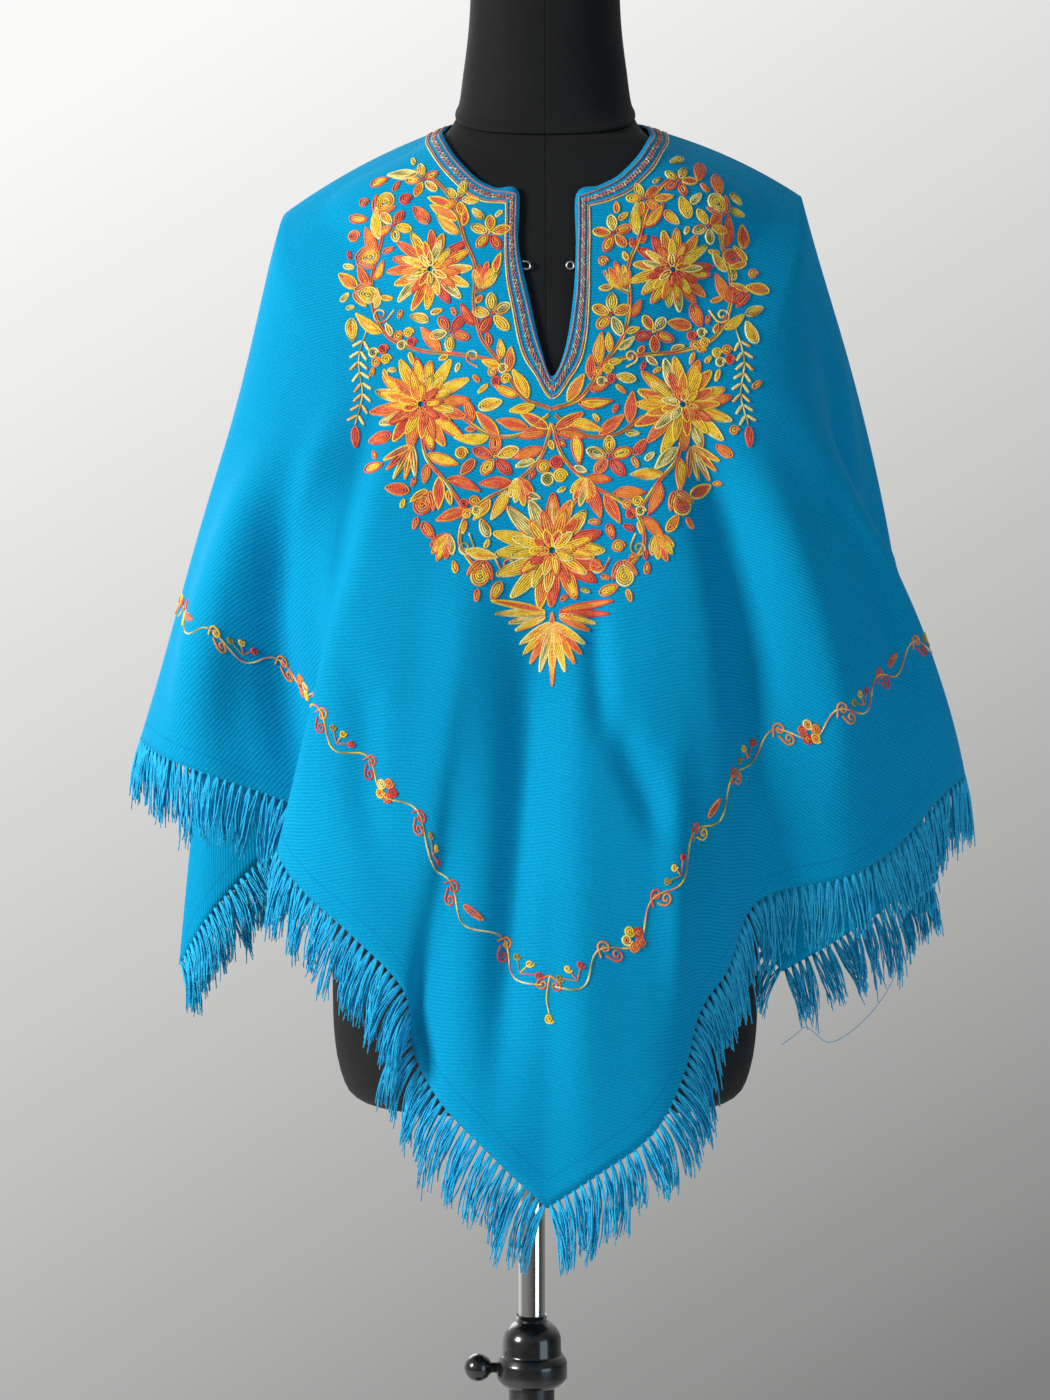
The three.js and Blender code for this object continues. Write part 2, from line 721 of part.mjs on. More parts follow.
// A large block whose lower face is the sloping plane of the neck seam
function aboveSeam(shift) {
  const size = 600;
  const block = new THREE.BoxGeometry(size, size, size);
  block.translate(0, 0, size / 2);
  block.rotateX(Math.atan(SEAM_SLOPE));
  block.translate(0, 0, SEAM_HEIGHT + shift);
  return toManifold(block);
}

function torso() {
  const body = toManifold(formSolid(FORM_BOTTOM, TORSO_TOP, 0));
  return fromManifold(body.subtract(aboveSeam(-GAP)));
}

function neck() {
  const column = toManifold(formSolid(NECK_ROOT, NECK_TOP, NECK_THICKER));
  return fromManifold(column.intersect(aboveSeam(GAP)));
}

function neckCap() {
  const levels = CAP_PROFILE.map((row) => {
    const level = formLevel(NECK_TOP, row.out);
    return (angle) => level(angle).setZ(NECK_TOP + row.up);
  });
  return rings(levels, FORM_SIDES);
}

// Turned solids of the stand

function turned(profile, sides) {
  const outline = profile.map((row) => new THREE.Vector2(row.radius, row.up));
  const geometry = new THREE.LatheGeometry(outline, sides);
  geometry.rotateX(Math.PI / 2);
  return geometry;
}

function mast() {
  const top = FORM_BOTTOM - GAP;
  const bar = new THREE.CylinderGeometry(MAST_RADIUS, MAST_RADIUS, top - MAST_BOTTOM, ROUND_SIDES);
  bar.rotateX(Math.PI / 2);
  bar.translate(0, 0, (top + MAST_BOTTOM) / 2);
  return bar;
}

function column() {
  const bottom = BASE_HEIGHT + GAP;
  const top = SOCKET_BOTTOM - GAP;
  return turned([
    { radius: 0, up: bottom },
    { radius: COLUMN_RADIUS, up: bottom },
    { radius: COLUMN_RADIUS, up: top },
    { radius: BORE_RADIUS, up: top },
    { radius: BORE_RADIUS, up: COLUMN_FLOOR },
    { radius: 0, up: COLUMN_FLOOR },
  ], ROUND_SIDES);
}

function base() {
  return turned(BASE_PROFILE, 2 * ROUND_SIDES);
}

// The sleeve, with a hole at its left for the knob's stem
function socket() {
  const sleeve = turned(SOCKET_PROFILE, ROUND_SIDES);
  sleeve.translate(0, 0, SOCKET_BOTTOM);
  const reach = COLLAR_RADIUS + 2;
  const holeRadius = STEM_RADIUS + GAP;
  const hole = new THREE.CylinderGeometry(holeRadius, holeRadius, reach, 16);
  hole.rotateZ(Math.PI / 2);
  hole.translate(-reach / 2, 0, KNOB_HEIGHT);
  return fromManifold(toManifold(sleeve).subtract(toManifold(hole)));
}

// A ball on a stem, pointing left
function knob() {
  const tip = MAST_RADIUS + KNOB_CLEARANCE;
  const profile = [{ radius: 0, up: tip }, { radius: STEM_RADIUS, up: tip }];
  for (let step = 0; step <= BALL_STEPS; step += 1) {
    const angle = Math.PI * (STEM_BALL_TURN + (1 - STEM_BALL_TURN) * step / BALL_STEPS);
    profile.push({
      radius: step === 0 ? STEM_RADIUS : KNOB_RADIUS * Math.sin(angle),
      up: KNOB_REACH - KNOB_RADIUS * Math.cos(angle),
    });
  }
  profile[profile.length - 1].radius = 0;
  const geometry = turned(profile, ROUND_SIDES);
  geometry.rotateY(-Math.PI / 2);
  geometry.translate(0, 0, KNOB_HEIGHT);
  return geometry;
}

// The hook and the eye stand out of the two edges of the slit

function hook() {
  const edge = clothAt(HOOK_TURN, 0);
  const bends = HOOK_PATH.map((row) => new THREE.Vector3(HOOK_SEAT + row.x, 0, row.z));
  const outline = new THREE.Shape();
  outline.absarc(0, 0, WIRE_RADIUS, 0, 2 * Math.PI);
  const wire = new THREE.ExtrudeGeometry(outline, {
    extrudePath: new THREE.CatmullRomCurve3(bends),
    steps: 14,
    curveSegments: 4,
  });
  wire.translate(edge.x, edge.y, edge.z);
  return wire;
}

function eye() {
  const edge = clothAt(EYE_TURN, 0);
  const ring = new THREE.TorusGeometry(EYE_RADIUS, WIRE_RADIUS, 8, 18);
  ring.rotateX(Math.PI / 2);
  ring.translate(edge.x - EYE_RADIUS - EYE_SEAT, edge.y, edge.z);
  return ring;
}

const figure = new THREE.Group();
figure.position.x = FIGURE_OFFSET;
figure.add(mesh('poncho_cloth', clothWall(), 'cloth'));
['fringe_front_right', 'fringe_back_right', 'fringe_back_left', 'fringe_front_left']
  .forEach((name, side) => figure.add(mesh(name, fringe(side), 'fringe')));
figure.add(mesh('neck_hook', hook(), 'hook'));
figure.add(mesh('neck_eye', eye(), 'hook'));
figure.add(mesh('form_torso', torso(), 'jersey'));
figure.add(mesh('form_neck', neck(), 'jersey'));
figure.add(mesh('neck_cap', neckCap(), 'plastic'));

const stand = new THREE.Group();
stand.add(mesh('mast', mast(), 'chrome'));
stand.add(mesh('stand_socket', socket(), 'plastic'));
stand.add(mesh('clamp_knob', knob(), 'plastic'));
stand.add(mesh('stand_column', column(), 'stand'));
stand.add(mesh('stand_base', base(), 'stand'));

const poncho = new THREE.Group();
poncho.add(figure, stand);

export default poncho;
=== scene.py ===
# A bright blue ribbed poncho with a slit neck, chain-stitch flowers and a fringed hem, worn by a
# limbless dress form on its stand. The garment's sizes are in millimetres; meshes are made in metres.
import math

import bpy
import numpy as np
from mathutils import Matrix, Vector
from mathutils.bvhtree import BVHTree


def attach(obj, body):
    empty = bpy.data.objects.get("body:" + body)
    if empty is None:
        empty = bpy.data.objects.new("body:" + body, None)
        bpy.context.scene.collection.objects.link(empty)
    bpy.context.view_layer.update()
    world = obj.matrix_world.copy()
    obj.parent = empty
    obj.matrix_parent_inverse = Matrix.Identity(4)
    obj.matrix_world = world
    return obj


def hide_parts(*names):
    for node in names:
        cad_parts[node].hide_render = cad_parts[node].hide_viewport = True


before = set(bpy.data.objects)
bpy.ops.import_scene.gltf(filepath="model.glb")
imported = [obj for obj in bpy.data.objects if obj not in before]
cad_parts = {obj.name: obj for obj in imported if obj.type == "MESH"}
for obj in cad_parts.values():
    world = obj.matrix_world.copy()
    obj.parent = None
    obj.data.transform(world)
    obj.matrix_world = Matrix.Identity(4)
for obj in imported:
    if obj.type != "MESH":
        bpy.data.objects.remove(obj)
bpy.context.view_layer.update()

MM = 0.001

# Camera
CAMERA_PLACE = (-0.005, -1.9, 1.106)
CAMERA_ANGLE = math.radians(30.74)    # over the picture's long side

# Cloth
FIGURE_OFFSET = 10        # the form stands this far to the right of its mast
BODY_CLEARANCE = 2.8      # from the form to the middle of the cloth
COLUMNS_PER_SIDE = 112
YOKE_ROWS = 22
FALL_ROWS = 66
SHELL_HALF = 0.7          # half the cloth's thickness
FORM_POWER = 2.3          # how square the form's sections are
FORM_BOTTOM = 806
NECK_TOP = 1646
SEAM_HEIGHT = 1545        # neck seam above the mast's axis
SEAM_SLOPE = 0.5
MID_HALF, MID_FRONT, MID_BACK = 241, 148, 154
MID_RAISE = 4
SMOOTH_STEPS = 6
SMOOTH_PITCH = 0.036
OVERLAP_FADE = 3.4
SHOULDER_RISE = 6         # how far the shoulders bulge between the neck and the chest ring
HALF_DIAGONAL = 800       # of the flat square

# Height, half-width, front and back depth of the dress form
FORM_SECTIONS = np.array([
    (806, 120, 74, 76), (809, 134, 89, 91), (816, 145, 98, 101), (828, 151, 103, 106),
    (844, 155, 107, 110), (870, 157.5, 109, 112), (930, 158, 109, 113), (990, 156, 107, 110),
    (1055, 136, 98, 94), (1125, 119, 91, 82), (1200, 127, 97, 86), (1270, 140, 108, 94),
    (1320, 148, 111, 99), (1370, 157, 104, 99), (1415, 167, 94, 94), (1448, 174, 84, 87),
    (1468, 168, 77, 82), (1484, 148, 72, 78), (1498, 120, 67, 74), (1511, 95, 63, 70),
    (1524, 76, 59, 66), (1540, 65.5, 56, 61), (1575, 59.5, 53, 56), (1610, 55.5, 51, 52),
    (1646, 54, 50, 50),
], float)

# Rings of the cloth: turn (0 front corner, 1 right, 2 back, 3 left, 4 front again), then x, y, z
NECK_EDGE = np.array([
    (0, 4, -112, 1333), (0.1, 13, -108, 1352), (0.2, 19, -99, 1390), (0.29, 21, -88, 1428),
    (0.37, 21.5, -77, 1466), (0.48, 38, -76, 1474), (0.62, 54, -71, 1484), (0.8, 70, -53, 1505),
    (1, 77, 0, 1531), (1.35, 66, 42, 1545), (1.7, 36, 64, 1549), (2, 0, 70, 1550),
    (2.3, -36, 64, 1549), (2.65, -64, 42, 1545), (3, -74, 0, 1531), (3.2, -69, -53, 1505),
    (3.38, -52, -71, 1482), (3.52, -36, -76, 1472), (3.63, -19.5, -77, 1468),
    (3.71, -19.5, -88, 1428), (3.8, -12, -99, 1390), (3.9, -4, -108, 1354), (4, 4, -112, 1333),
], float)

CHEST_RING = np.array([
    (0, 4, -118, 1262), (0.25, 82, -112, 1290), (0.5, 150, -84, 1352), (0.75, 187, -42, 1432),
    (1, 190, 2, 1482), (1.25, 188, 46, 1440), (1.5, 150, 88, 1376), (1.75, 82, 108, 1330),
    (2, 0, 112, 1310), (2.25, -82, 108, 1330), (2.5, -150, 88, 1370), (2.75, -190, 46, 1434),
    (3, -192, 2, 1470), (3.25, -194, -42, 1427), (3.5, -153, -84, 1352), (3.75, -78, -112, 1290),
    (4, 4, -118, 1262),
], float)

# The hem, side by side, corner to corner: x, y, z of the folds' crests and troughs
HEM_SIDES = [
    np.array([
        (0, -167, 760), (32, -168, 781), (73, -160, 810), (93, -150, 846), (106, -138, 891),
        (126, -124, 918), (143, -104, 958), (162, -98, 970), (211, -96, 980), (247, -78, 998),
        (290, -42, 1037), (310, -16, 1050), (304, 14, 1047), (245, 24, 1032), (184, 30, 1018),
        (163, 42, 1011), (168, 56, 1006), (206, 64, 1004), (262, 57, 1012), (286, 66, 1003),
        (293, 82, 984), (276, 98, 950), (232, 104, 918), (188, 108, 892),
    ], float),
    np.array([
        (188, 108, 892), (150, 116, 936), (131, 125, 968), (137, 138, 992), (190, 144, 1012),
        (260, 148, 1030), (280, 176, 1027), (236, 196, 1014), (182, 180, 1004), (152, 170, 997),
        (141, 182, 989), (158, 206, 979), (204, 232, 966), (190, 256, 952), (142, 240, 936),
        (104, 188, 920), (82, 160, 906), (76, 190, 890), (78, 226, 876), (54, 234, 860),
        (26, 204, 842), (0, 186, 824),
    ], float),
    np.array([
        (0, 186, 824), (-30, 210, 844), (-64, 228, 866), (-84, 208, 886), (-78, 162, 900),
        (-102, 166, 916), (-150, 216, 936), (-196, 244, 958), (-214, 222, 972), (-182, 184, 984),
        (-154, 158, 992), (-152, 142, 1000), (-190, 147, 1012), (-244, 176, 1026),
        (-276, 184, 1032), (-278, 162, 1026), (-222, 138, 1008), (-214, 126, 986),
        (-262, 124, 940), (-286, 100, 898),
    ], float),
    np.array([
        (-286, 100, 898), (-262, 82, 936), (-226, 76, 976), (-184, 80, 1009), (-158, 80, 1027),
        (-150, 70, 1037), (-164, 59, 1044), (-212, 50, 1053), (-280, 44, 1070), (-302, 10, 1078),
        (-286, -34, 1068), (-252, -62, 1055), (-206, -58, 1039), (-162, -57, 1023),
        (-126, -70, 1011),
        (-104, -90, 1003), (-116, -105, 1000), (-158, -95, 1006), (-189, -106, 1003),
        (-172, -128, 976), (-134, -148, 944), (-98, -152, 906), (-92, -140, 864),
        (-72, -158, 830), (-38, -170, 796), (0, -167, 760),
    ], float),
]

# How fast the folds fade upwards from the hem, at each turn
DEPTH_FADE = np.array([
    (0, 1.7), (0.5, 1.6), (0.85, 1.65), (1.3, 1.3), (2, 1.05), (2.7, 1.3), (3.05, 1.7), (3.35, 2.75),
    (3.6, 2), (4, 1.7),
], float)

# The neck hole of the flat square: turn, then x to the viewer's right and y towards the front
NECK_CUT = np.array([
    (0, 0, 208), (0.1, 8, 189), (0.2, 15, 151), (0.29, 18, 112), (0.37, 18, 73), (0.48, 34, 63),
    (0.62, 51, 50), (0.8, 67, 27), (1, 74, 0), (1.35, 60, -40), (1.7, 33, -58), (2, 0, -64),
    (2.3, -33, -58), (2.65, -60, -40), (3, -74, 0), (3.2, -67, 27), (3.38, -51, 50),
    (3.52, -34, 63), (3.63, -18, 73), (3.71, -18, 112), (3.8, -15, 151), (3.9, -8, 189),
    (4, 0, 208),
], float)

# Soft creases of the worn cloth: from turn, down to turn, down, then half-width and height.
# Down is 0 at the neck, 1 at the chest and 2 at the hem; a trough has a negative height.
CREASES = [
    (3.97, 1.2, 3.945, 1.97, 19, -13),
    (3.87, 1.1, 3.84, 1.9, 26, 9),
    (0.03, 1.3, 0.03, 1.97, 26, 5),
    (0.07, 1.18, 0.075, 1.42, 10, -6),
    (0.085, 1.36, 0.15, 1.66, 12, -6),
    (0.16, 1.5, 0.14, 1.9, 18, 5),
    (0.31, 1.0, 0.27, 1.75, 20, -13),
    (0.38, 1.1, 0.36, 1.85, 22, 8),
    (0.47, 1.3, 0.44, 1.8, 12, -5),
    (0.5, 1.45, 0.62, 1.62, 9, 3.5),
    (0.62, 1.2, 0.58, 1.8, 16, -6),
    (0.76, 1.1, 0.7, 1.7, 16, 6),
    (3.74, 1.5, 3.78, 1.85, 18, -5),
    (3.63, 1.0, 3.65, 1.5, 13, -7),
    (3.565, 1.05, 3.555, 1.8, 13, 7),
    (3.56, 1.25, 3.525, 1.97, 20, -16),
    (3.5, 1.2, 3.43, 1.97, 24, 20),
    (3.12, 1.1, 3.14, 1.8, 15, -7),
    (2.1, 1.1, 2.07, 1.6, 14, -6),
    (1.82, 1.05, 1.86, 1.5, 16, -7),
    (1.6, 1.2, 1.66, 1.8, 12, 5),
    (2.38, 1.15, 2.32, 1.65, 14, -6),
    (2.7, 1.1, 2.66, 1.5, 18, 6),
    (1.25, 1.15, 1.3, 1.6, 15, -6),
]


def to_world(points):
    """Millimetres on the figure to metres in the frame."""
    return (np.asarray(points, float) + (FIGURE_OFFSET, 0, 0)) * MM


def unit(vectors):
    length = np.linalg.norm(vectors, axis=-1, keepdims=True)
    return vectors / np.maximum(length, 1e-9)


def lengths_along(points):
    steps = np.linalg.norm(np.diff(points, axis=0), axis=1)
    return np.concatenate([[0], np.cumsum(steps)])


def polar(angle):
    return np.array([math.cos(angle), math.sin(angle)])


def ring_angles(sides):
    return 2 * math.pi * np.arange(sides) / sides


def through_table(rows, at):
    """Smooth curve through rows of (key, values...), at the keys given."""
    keys = rows[:, 0]
    values = rows[:, 1:]
    at = np.asarray(at, float)
    row = np.clip(np.searchsorted(keys, at, side="left") - 1, 0, len(rows) - 2)
    span = (keys[row + 1] - keys[row])[:, None]
    share = ((at - keys[row]) / (keys[row + 1] - keys[row]))[:, None]
    chord = (values[row + 1] - values[row]) / span
    before = np.maximum(row - 1, 0)
    after = np.minimum(row + 2, len(rows) - 1)
    start = (values[row + 1] - values[before]) / (keys[row + 1] - keys[before])[:, None]
    end = (values[after] - values[row]) / (keys[after] - keys[row])[:, None]
    start = np.where((row == 0)[:, None], chord, start)
    end = np.where((row == len(rows) - 2)[:, None], chord, end)
    s2 = share * share
    s3 = s2 * share
    return ((2 * s3 - 3 * s2 + 1) * values[row] + (s3 - 2 * s2 + share) * span * start
            + (3 * s2 - 2 * s3) * values[row + 1] + (s3 - s2) * span * end)


def close_ring(rows):
    first = rows[-2] - np.array([4] + [0] * (rows.shape[1] - 1))
    after = rows[1] + np.array([4] + [0] * (rows.shape[1] - 1))
    return np.vstack([first, rows, after])


def with_distance(rows, start):
    reach = lengths_along(rows)
    return np.column_stack([start + reach / reach[-1], rows])


neck_rows = close_ring(NECK_EDGE)
chest_rows = close_ring(CHEST_RING)
fade_rows = close_ring(DEPTH_FADE)
hem_rows = [with_distance(side, start) for start, side in enumerate(HEM_SIDES)]


def hem_at(turn):
    turn = np.asarray(turn, float)
    side = np.minimum(turn.astype(int), 3)
    place = np.zeros((len(turn), 3))
    for number in range(4):
        chosen = side == number
        if chosen.any():
            place[chosen] = through_table(hem_rows[number], turn[chosen])
    return place


def outline_reach(half, front, back, angle):
    depth = np.where(np.sin(angle) < 0, front, back)
    across = np.abs(np.cos(angle)) / half
    along = np.abs(np.sin(angle)) / depth
    return (across ** FORM_POWER + along ** FORM_POWER) ** (-1 / FORM_POWER)


def smooth_hem_at(turn):
    middle = hem_at(turn)
    place = np.zeros_like(middle)
    for step in range(-SMOOTH_STEPS, SMOOTH_STEPS + 1):
        place += hem_at((turn + 4 + step * SMOOTH_PITCH) % 4)
    place /= 2 * SMOOTH_STEPS + 1
    place[:, 2] = middle[:, 2]
    return place


def mid_at(chest, hem):
    """The smooth outline half-way down, between the chest ring and the hem."""
    chest_angle = np.arctan2(chest[:, 1], chest[:, 0])
    sweep = np.arctan2(hem[:, 1], hem[:, 0]) - chest_angle
    sweep -= 2 * math.pi * np.round(sweep / (2 * math.pi))
    angle = chest_angle + sweep / 2
    reach = outline_reach(MID_HALF, MID_FRONT, MID_BACK, angle)
    height = (chest[:, 2] + hem[:, 2]) / 2 + MID_RAISE
    return np.column_stack([np.cos(angle) * reach, np.sin(angle) * reach, height])


def form_excess(points):
    height = np.clip(points[:, 2], FORM_BOTTOM, NECK_TOP)
    half, front, back = through_table(FORM_SECTIONS, height).T
    depth = np.where(points[:, 1] < 0, front, back)
    across = np.abs(points[:, 0]) / half
    along = np.abs(points[:, 1]) / depth
    return (across ** FORM_POWER + along ** FORM_POWER) ** (1 / FORM_POWER) - 1


def off_form(points, clearance):
    """Moves points outwards until they are the clearance away from the form."""
    probe = 0.5
    longest_move = 40
    points = np.array(points, float)
    for _ in range(4):
        here = form_excess(points)
        slope = np.column_stack([
            form_excess(points + np.eye(3)[axis] * probe) - here for axis in range(3)]) / probe
        steepness = np.maximum(np.linalg.norm(slope, axis=1), 1e-4)
        missing = np.minimum(clearance - here / steepness, longest_move)
        move = np.where(missing > 0, missing, 0) / steepness
        points += slope * move[:, None]
    return points


def cloth_at(turn, down):
    """The cloth's middle surface at arrays of turn and down."""
    turn = np.asarray(turn, float)
    down = np.asarray(down, float)
    neck = through_table(neck_rows, turn)
    chest = through_table(chest_rows, turn)
    yoke = neck + (chest - neck) * down[:, None]
    bulge = np.sin(turn * math.pi / 2) ** 2 * 4 * down * (1 - down)
    yoke[:, 2] += SHOULDER_RISE * bulge
    hem = smooth_hem_at(turn)
    mid = mid_at(chest, hem)
    fold = hem_at(turn) - hem
    fall = np.clip(down - 1, 0, 1)[:, None]
    point = (chest * 2 * (fall - 0.5) * (fall - 1) + mid * 4 * fall * (1 - fall)
             + hem * 2 * fall * (fall - 0.5))
    outwards = unit(hem * (1, 1, 0))
    depth = np.sum(fold * outwards, axis=1, keepdims=True)
    sideways = fold - outwards * depth
    fade = through_table(fade_rows, turn)
    point += outwards * depth * fall ** fade + sideways * fall ** OVERLAP_FADE
    point = np.where(down[:, None] <= 1, yoke, point)
    return off_form(point, BODY_CLEARANCE)


def grid_normals(grid):
    """Outward normals of rows of points that close into rings."""
    below = np.roll(grid, -1, axis=0)
    above = np.roll(grid, 1, axis=0)
    below[-1] = grid[-1]
    above[0] = grid[0]
    across = np.roll(grid, -1, axis=1) - np.roll(grid, 1, axis=1)
    return -unit(np.cross(across, below - above))


def crease(grid, normals, turns, downs):
    """Raises and sinks the cloth along the creases, with soft ends."""
    lift = np.zeros(grid.shape[:2])
    for turn0, down0, turn1, down1, half_width, height in CREASES:
        share = (downs - down0) / (down1 - down0)
        line = np.clip(turn0 + (turn1 - turn0) * share, min(turn0, turn1), max(turn0, turn1))
        axis = cloth_at(line % 4, downs)
        away = np.linalg.norm(grid - axis[:, None], axis=2)
        ends = np.clip(1 - np.maximum(np.abs(2 * share - 1) - 0.35, 0) / 0.85, 0, 1)
        ends = ends ** 2 * (3 - 2 * ends)
        near = np.abs((turns[None, :] - line[:, None] + 2) % 4 - 2) < 0.3
        lift += height * np.exp(-(away / half_width) ** 2) * ends[:, None] * near
    return grid + normals * lift[..., None]


def flat_hem(turn):
    corners = HALF_DIAGONAL * np.array([(0, 1), (1, 0), (0, -1), (-1, 0), (0, 1)], float)
    side = np.minimum(np.asarray(turn).astype(int), 3)
    share = (turn - side)[:, None]
    return corners[side] * (1 - share) + corners[side + 1] * share


class Cloth:
    """The worn cloth as a grid, with the place of each point on the flat square."""

    def __init__(self):
        count = 4 * COLUMNS_PER_SIDE
        self.turns = np.arange(count) / COLUMNS_PER_SIDE
        self.downs = np.concatenate([
            np.arange(YOKE_ROWS) / YOKE_ROWS, 1 + np.arange(FALL_ROWS + 1) / FALL_ROWS])
        turn, down = np.meshgrid(self.turns, self.downs)
        shape = turn.shape
        grid = cloth_at(turn.ravel(), down.ravel()).reshape(*shape, 3)
        grid = crease(grid, grid_normals(grid), self.turns, self.downs)
        self.grid = off_form(grid.reshape(-1, 3), BODY_CLEARANCE).reshape(*shape, 3)
        self.normals = grid_normals(self.grid)
        steps = np.linalg.norm(np.diff(self.grid, axis=0), axis=2)
        reach = np.vstack([np.zeros(count), np.cumsum(steps, axis=0)])
        share = (reach / reach[-1])[..., None]
        top = through_table(NECK_CUT, self.turns)
        self.flat = top * (1 - share) + flat_hem(self.turns) * share
        self.quads = self.make_quads()
        self.prepare_search()

    def make_quads(self):
        rows, count = self.grid.shape[:2]
        row, column = np.meshgrid(np.arange(rows - 1), np.arange(count), indexing="ij")
        after = (column + 1) % count
        a = row * count + column
        b = row * count + after
        return np.stack([a, a + count, b + count, b], axis=-1).reshape(-1, 4)

    def prepare_search(self):
        self.corners = np.vstack([self.quads[:, [0, 1, 2]], self.quads[:, [0, 2, 3]]])
        outer = self.grid + self.normals * SHELL_HALF
        self.outer = outer.reshape(-1, 3)
        self.out = self.normals.reshape(-1, 3)
        self.cut = self.flat.reshape(-1, 2)
        flat3 = np.column_stack([self.cut, np.zeros(len(self.cut))])
        faces = self.corners.tolist()
        self.worn_tree = BVHTree.FromPolygons(self.outer.tolist(), faces)
        self.flat_tree = BVHTree.FromPolygons(flat3.tolist(), faces)

    def blend(self, face, place, space):
        """Place and normal on the worn cloth, from a hit on one of its triangles."""
        corner = self.corners[face]
        a, b, c = space[corner]
        edge1, edge2, arm = b - a, c - a, place - a
        d11, d12, d22 = edge1 @ edge1, edge1 @ edge2, edge2 @ edge2
        p1, p2 = arm @ edge1, arm @ edge2
        bottom = d11 * d22 - d12 * d12
        v = (d22 * p1 - d12 * p2) / bottom
        w = (d11 * p2 - d12 * p1) / bottom
        weights = np.array([1 - v - w, v, w])
        return weights @ self.outer[corner], weights @ self.out[corner]

    def from_front(self, x, z):
        """Where a line from the front, at x across and z up, first meets the cloth."""
        hit, _, face, _ = self.worn_tree.ray_cast(Vector((x, -900, z)), Vector((0, 1, 0)))
        if hit is None or hit.y > 0:
            return None
        return self.blend(face, np.array(hit), self.outer)

    def from_flat(self, x, y):
        """Where a point of the flat square lies on the worn cloth."""
        hit, _, face, _ = self.flat_tree.ray_cast(Vector((x, y, 10)), Vector((0, 0, -1)))
        if hit is None:
            return None
        return self.blend(face, np.array(hit)[:2], self.cut)


# Making meshes

TUBE_REFERENCE = (0.31, 0.9, 0.3)    # a way that no tube runs in
STRAND_SIDES = 3
STRAY_RADIUS = 0.3

def into_scene(thing):
    bpy.context.scene.collection.objects.link(thing)
    return thing


def new_piece(name, points, faces, smooth=True):
    data = bpy.data.meshes.new(name)
    data.from_pydata(np.asarray(points).tolist(), [], [list(map(int, face)) for face in faces])
    data.polygons.foreach_set("use_smooth", [smooth] * len(data.polygons))
    data.update()
    piece = bpy.data.objects.new(name, data)
    return into_scene(piece)


def tube_points(paths, radii, sides):
    """Rings of points round many paths at once: paths is (paths, steps, 3)."""
    ahead = unit(np.gradient(paths, axis=1))
    across = unit(np.cross(ahead, np.array(TUBE_REFERENCE)))
    up = np.cross(ahead, across)
    angles = ring_angles(sides)
    ring = (across[:, :, None] * np.cos(angles)[None, None, :, None]
            + up[:, :, None] * np.sin(angles)[None, None, :, None])
    return paths[:, :, None] + ring * np.broadcast_to(radii, paths.shape[:2])[..., None, None]


def tube_faces(paths, steps, sides):
    """Faces of many tubes whose points follow each other, with closed ends."""
    path, step, side = np.meshgrid(
        np.arange(paths), np.arange(steps - 1), np.arange(sides), indexing="ij")
    base = (path * steps + step) * sides
    after = (side + 1) % sides
    walls = np.stack([
        base + side, base + after, base + sides + after, base + sides + side], axis=-1)
    faces = walls.reshape(-1, 4).tolist()
    for number in range(paths):
        first = number * steps * sides
        last = first + (steps - 1) * sides
        faces.append([first + side for side in reversed(range(sides))])
        faces.append([last + side for side in range(sides)])
    return faces


def turned_piece(name, profile, sides=72, at=(0, 0, 0)):
    """A lathe-turned piece from rows of (radius, height), closed where the radius is 0."""
    profile = np.array(profile, float)
    angles = ring_angles(sides)
    points = []
    starts = []
    for radius, height in profile:
        starts.append(len(points))
        if radius == 0:
            points.append((0, 0, height))
        else:
            points += [(radius * math.cos(a), radius * math.sin(a), height) for a in angles]
    faces = []
    for row in range(len(profile) - 1):
        low, high = starts[row], starts[row + 1]
        for side in range(sides):
            after = (side + 1) % sides
            if profile[row][0] == 0:
                faces.append([low, high + after, high + side])
            elif profile[row + 1][0] == 0:
                faces.append([low + side, low + after, high])
            else:
                faces.append([low + side, low + after, high + after, high + side])
    return new_piece(name, (np.array(points) + at) * MM, faces)


def rounded(profile, radius_steps=4, bevel=1.2):
    """The profile with each inner corner cut into a small round."""
    profile = [np.array(row, float) for row in profile]
    result = [profile[0]]
    for before, corner, after in zip(profile, profile[1:], profile[2:]):
        into, out = corner - before, after - corner
        reach = min(bevel, 0.45 * np.linalg.norm(into), 0.45 * np.linalg.norm(out))
        start = corner - into / max(np.linalg.norm(into), 1e-6) * reach
        end = corner + out / max(np.linalg.norm(out), 1e-6) * reach
        for step in range(radius_steps + 1):
            t = step / radius_steps
            result.append((1 - t) ** 2 * start + 2 * t * (1 - t) * corner + t * t * end)
    result.append(profile[-1])
    return result


# Materials

def maths_node(tree, operation, *values):
    node = tree.nodes.new("ShaderNodeMath")
    node.operation = operation
    for socket, value in zip(node.inputs, values):
        if isinstance(value, bpy.types.NodeSocket):
            tree.links.new(value, socket)
        else:
            socket.default_value = value
    return node.outputs[0]


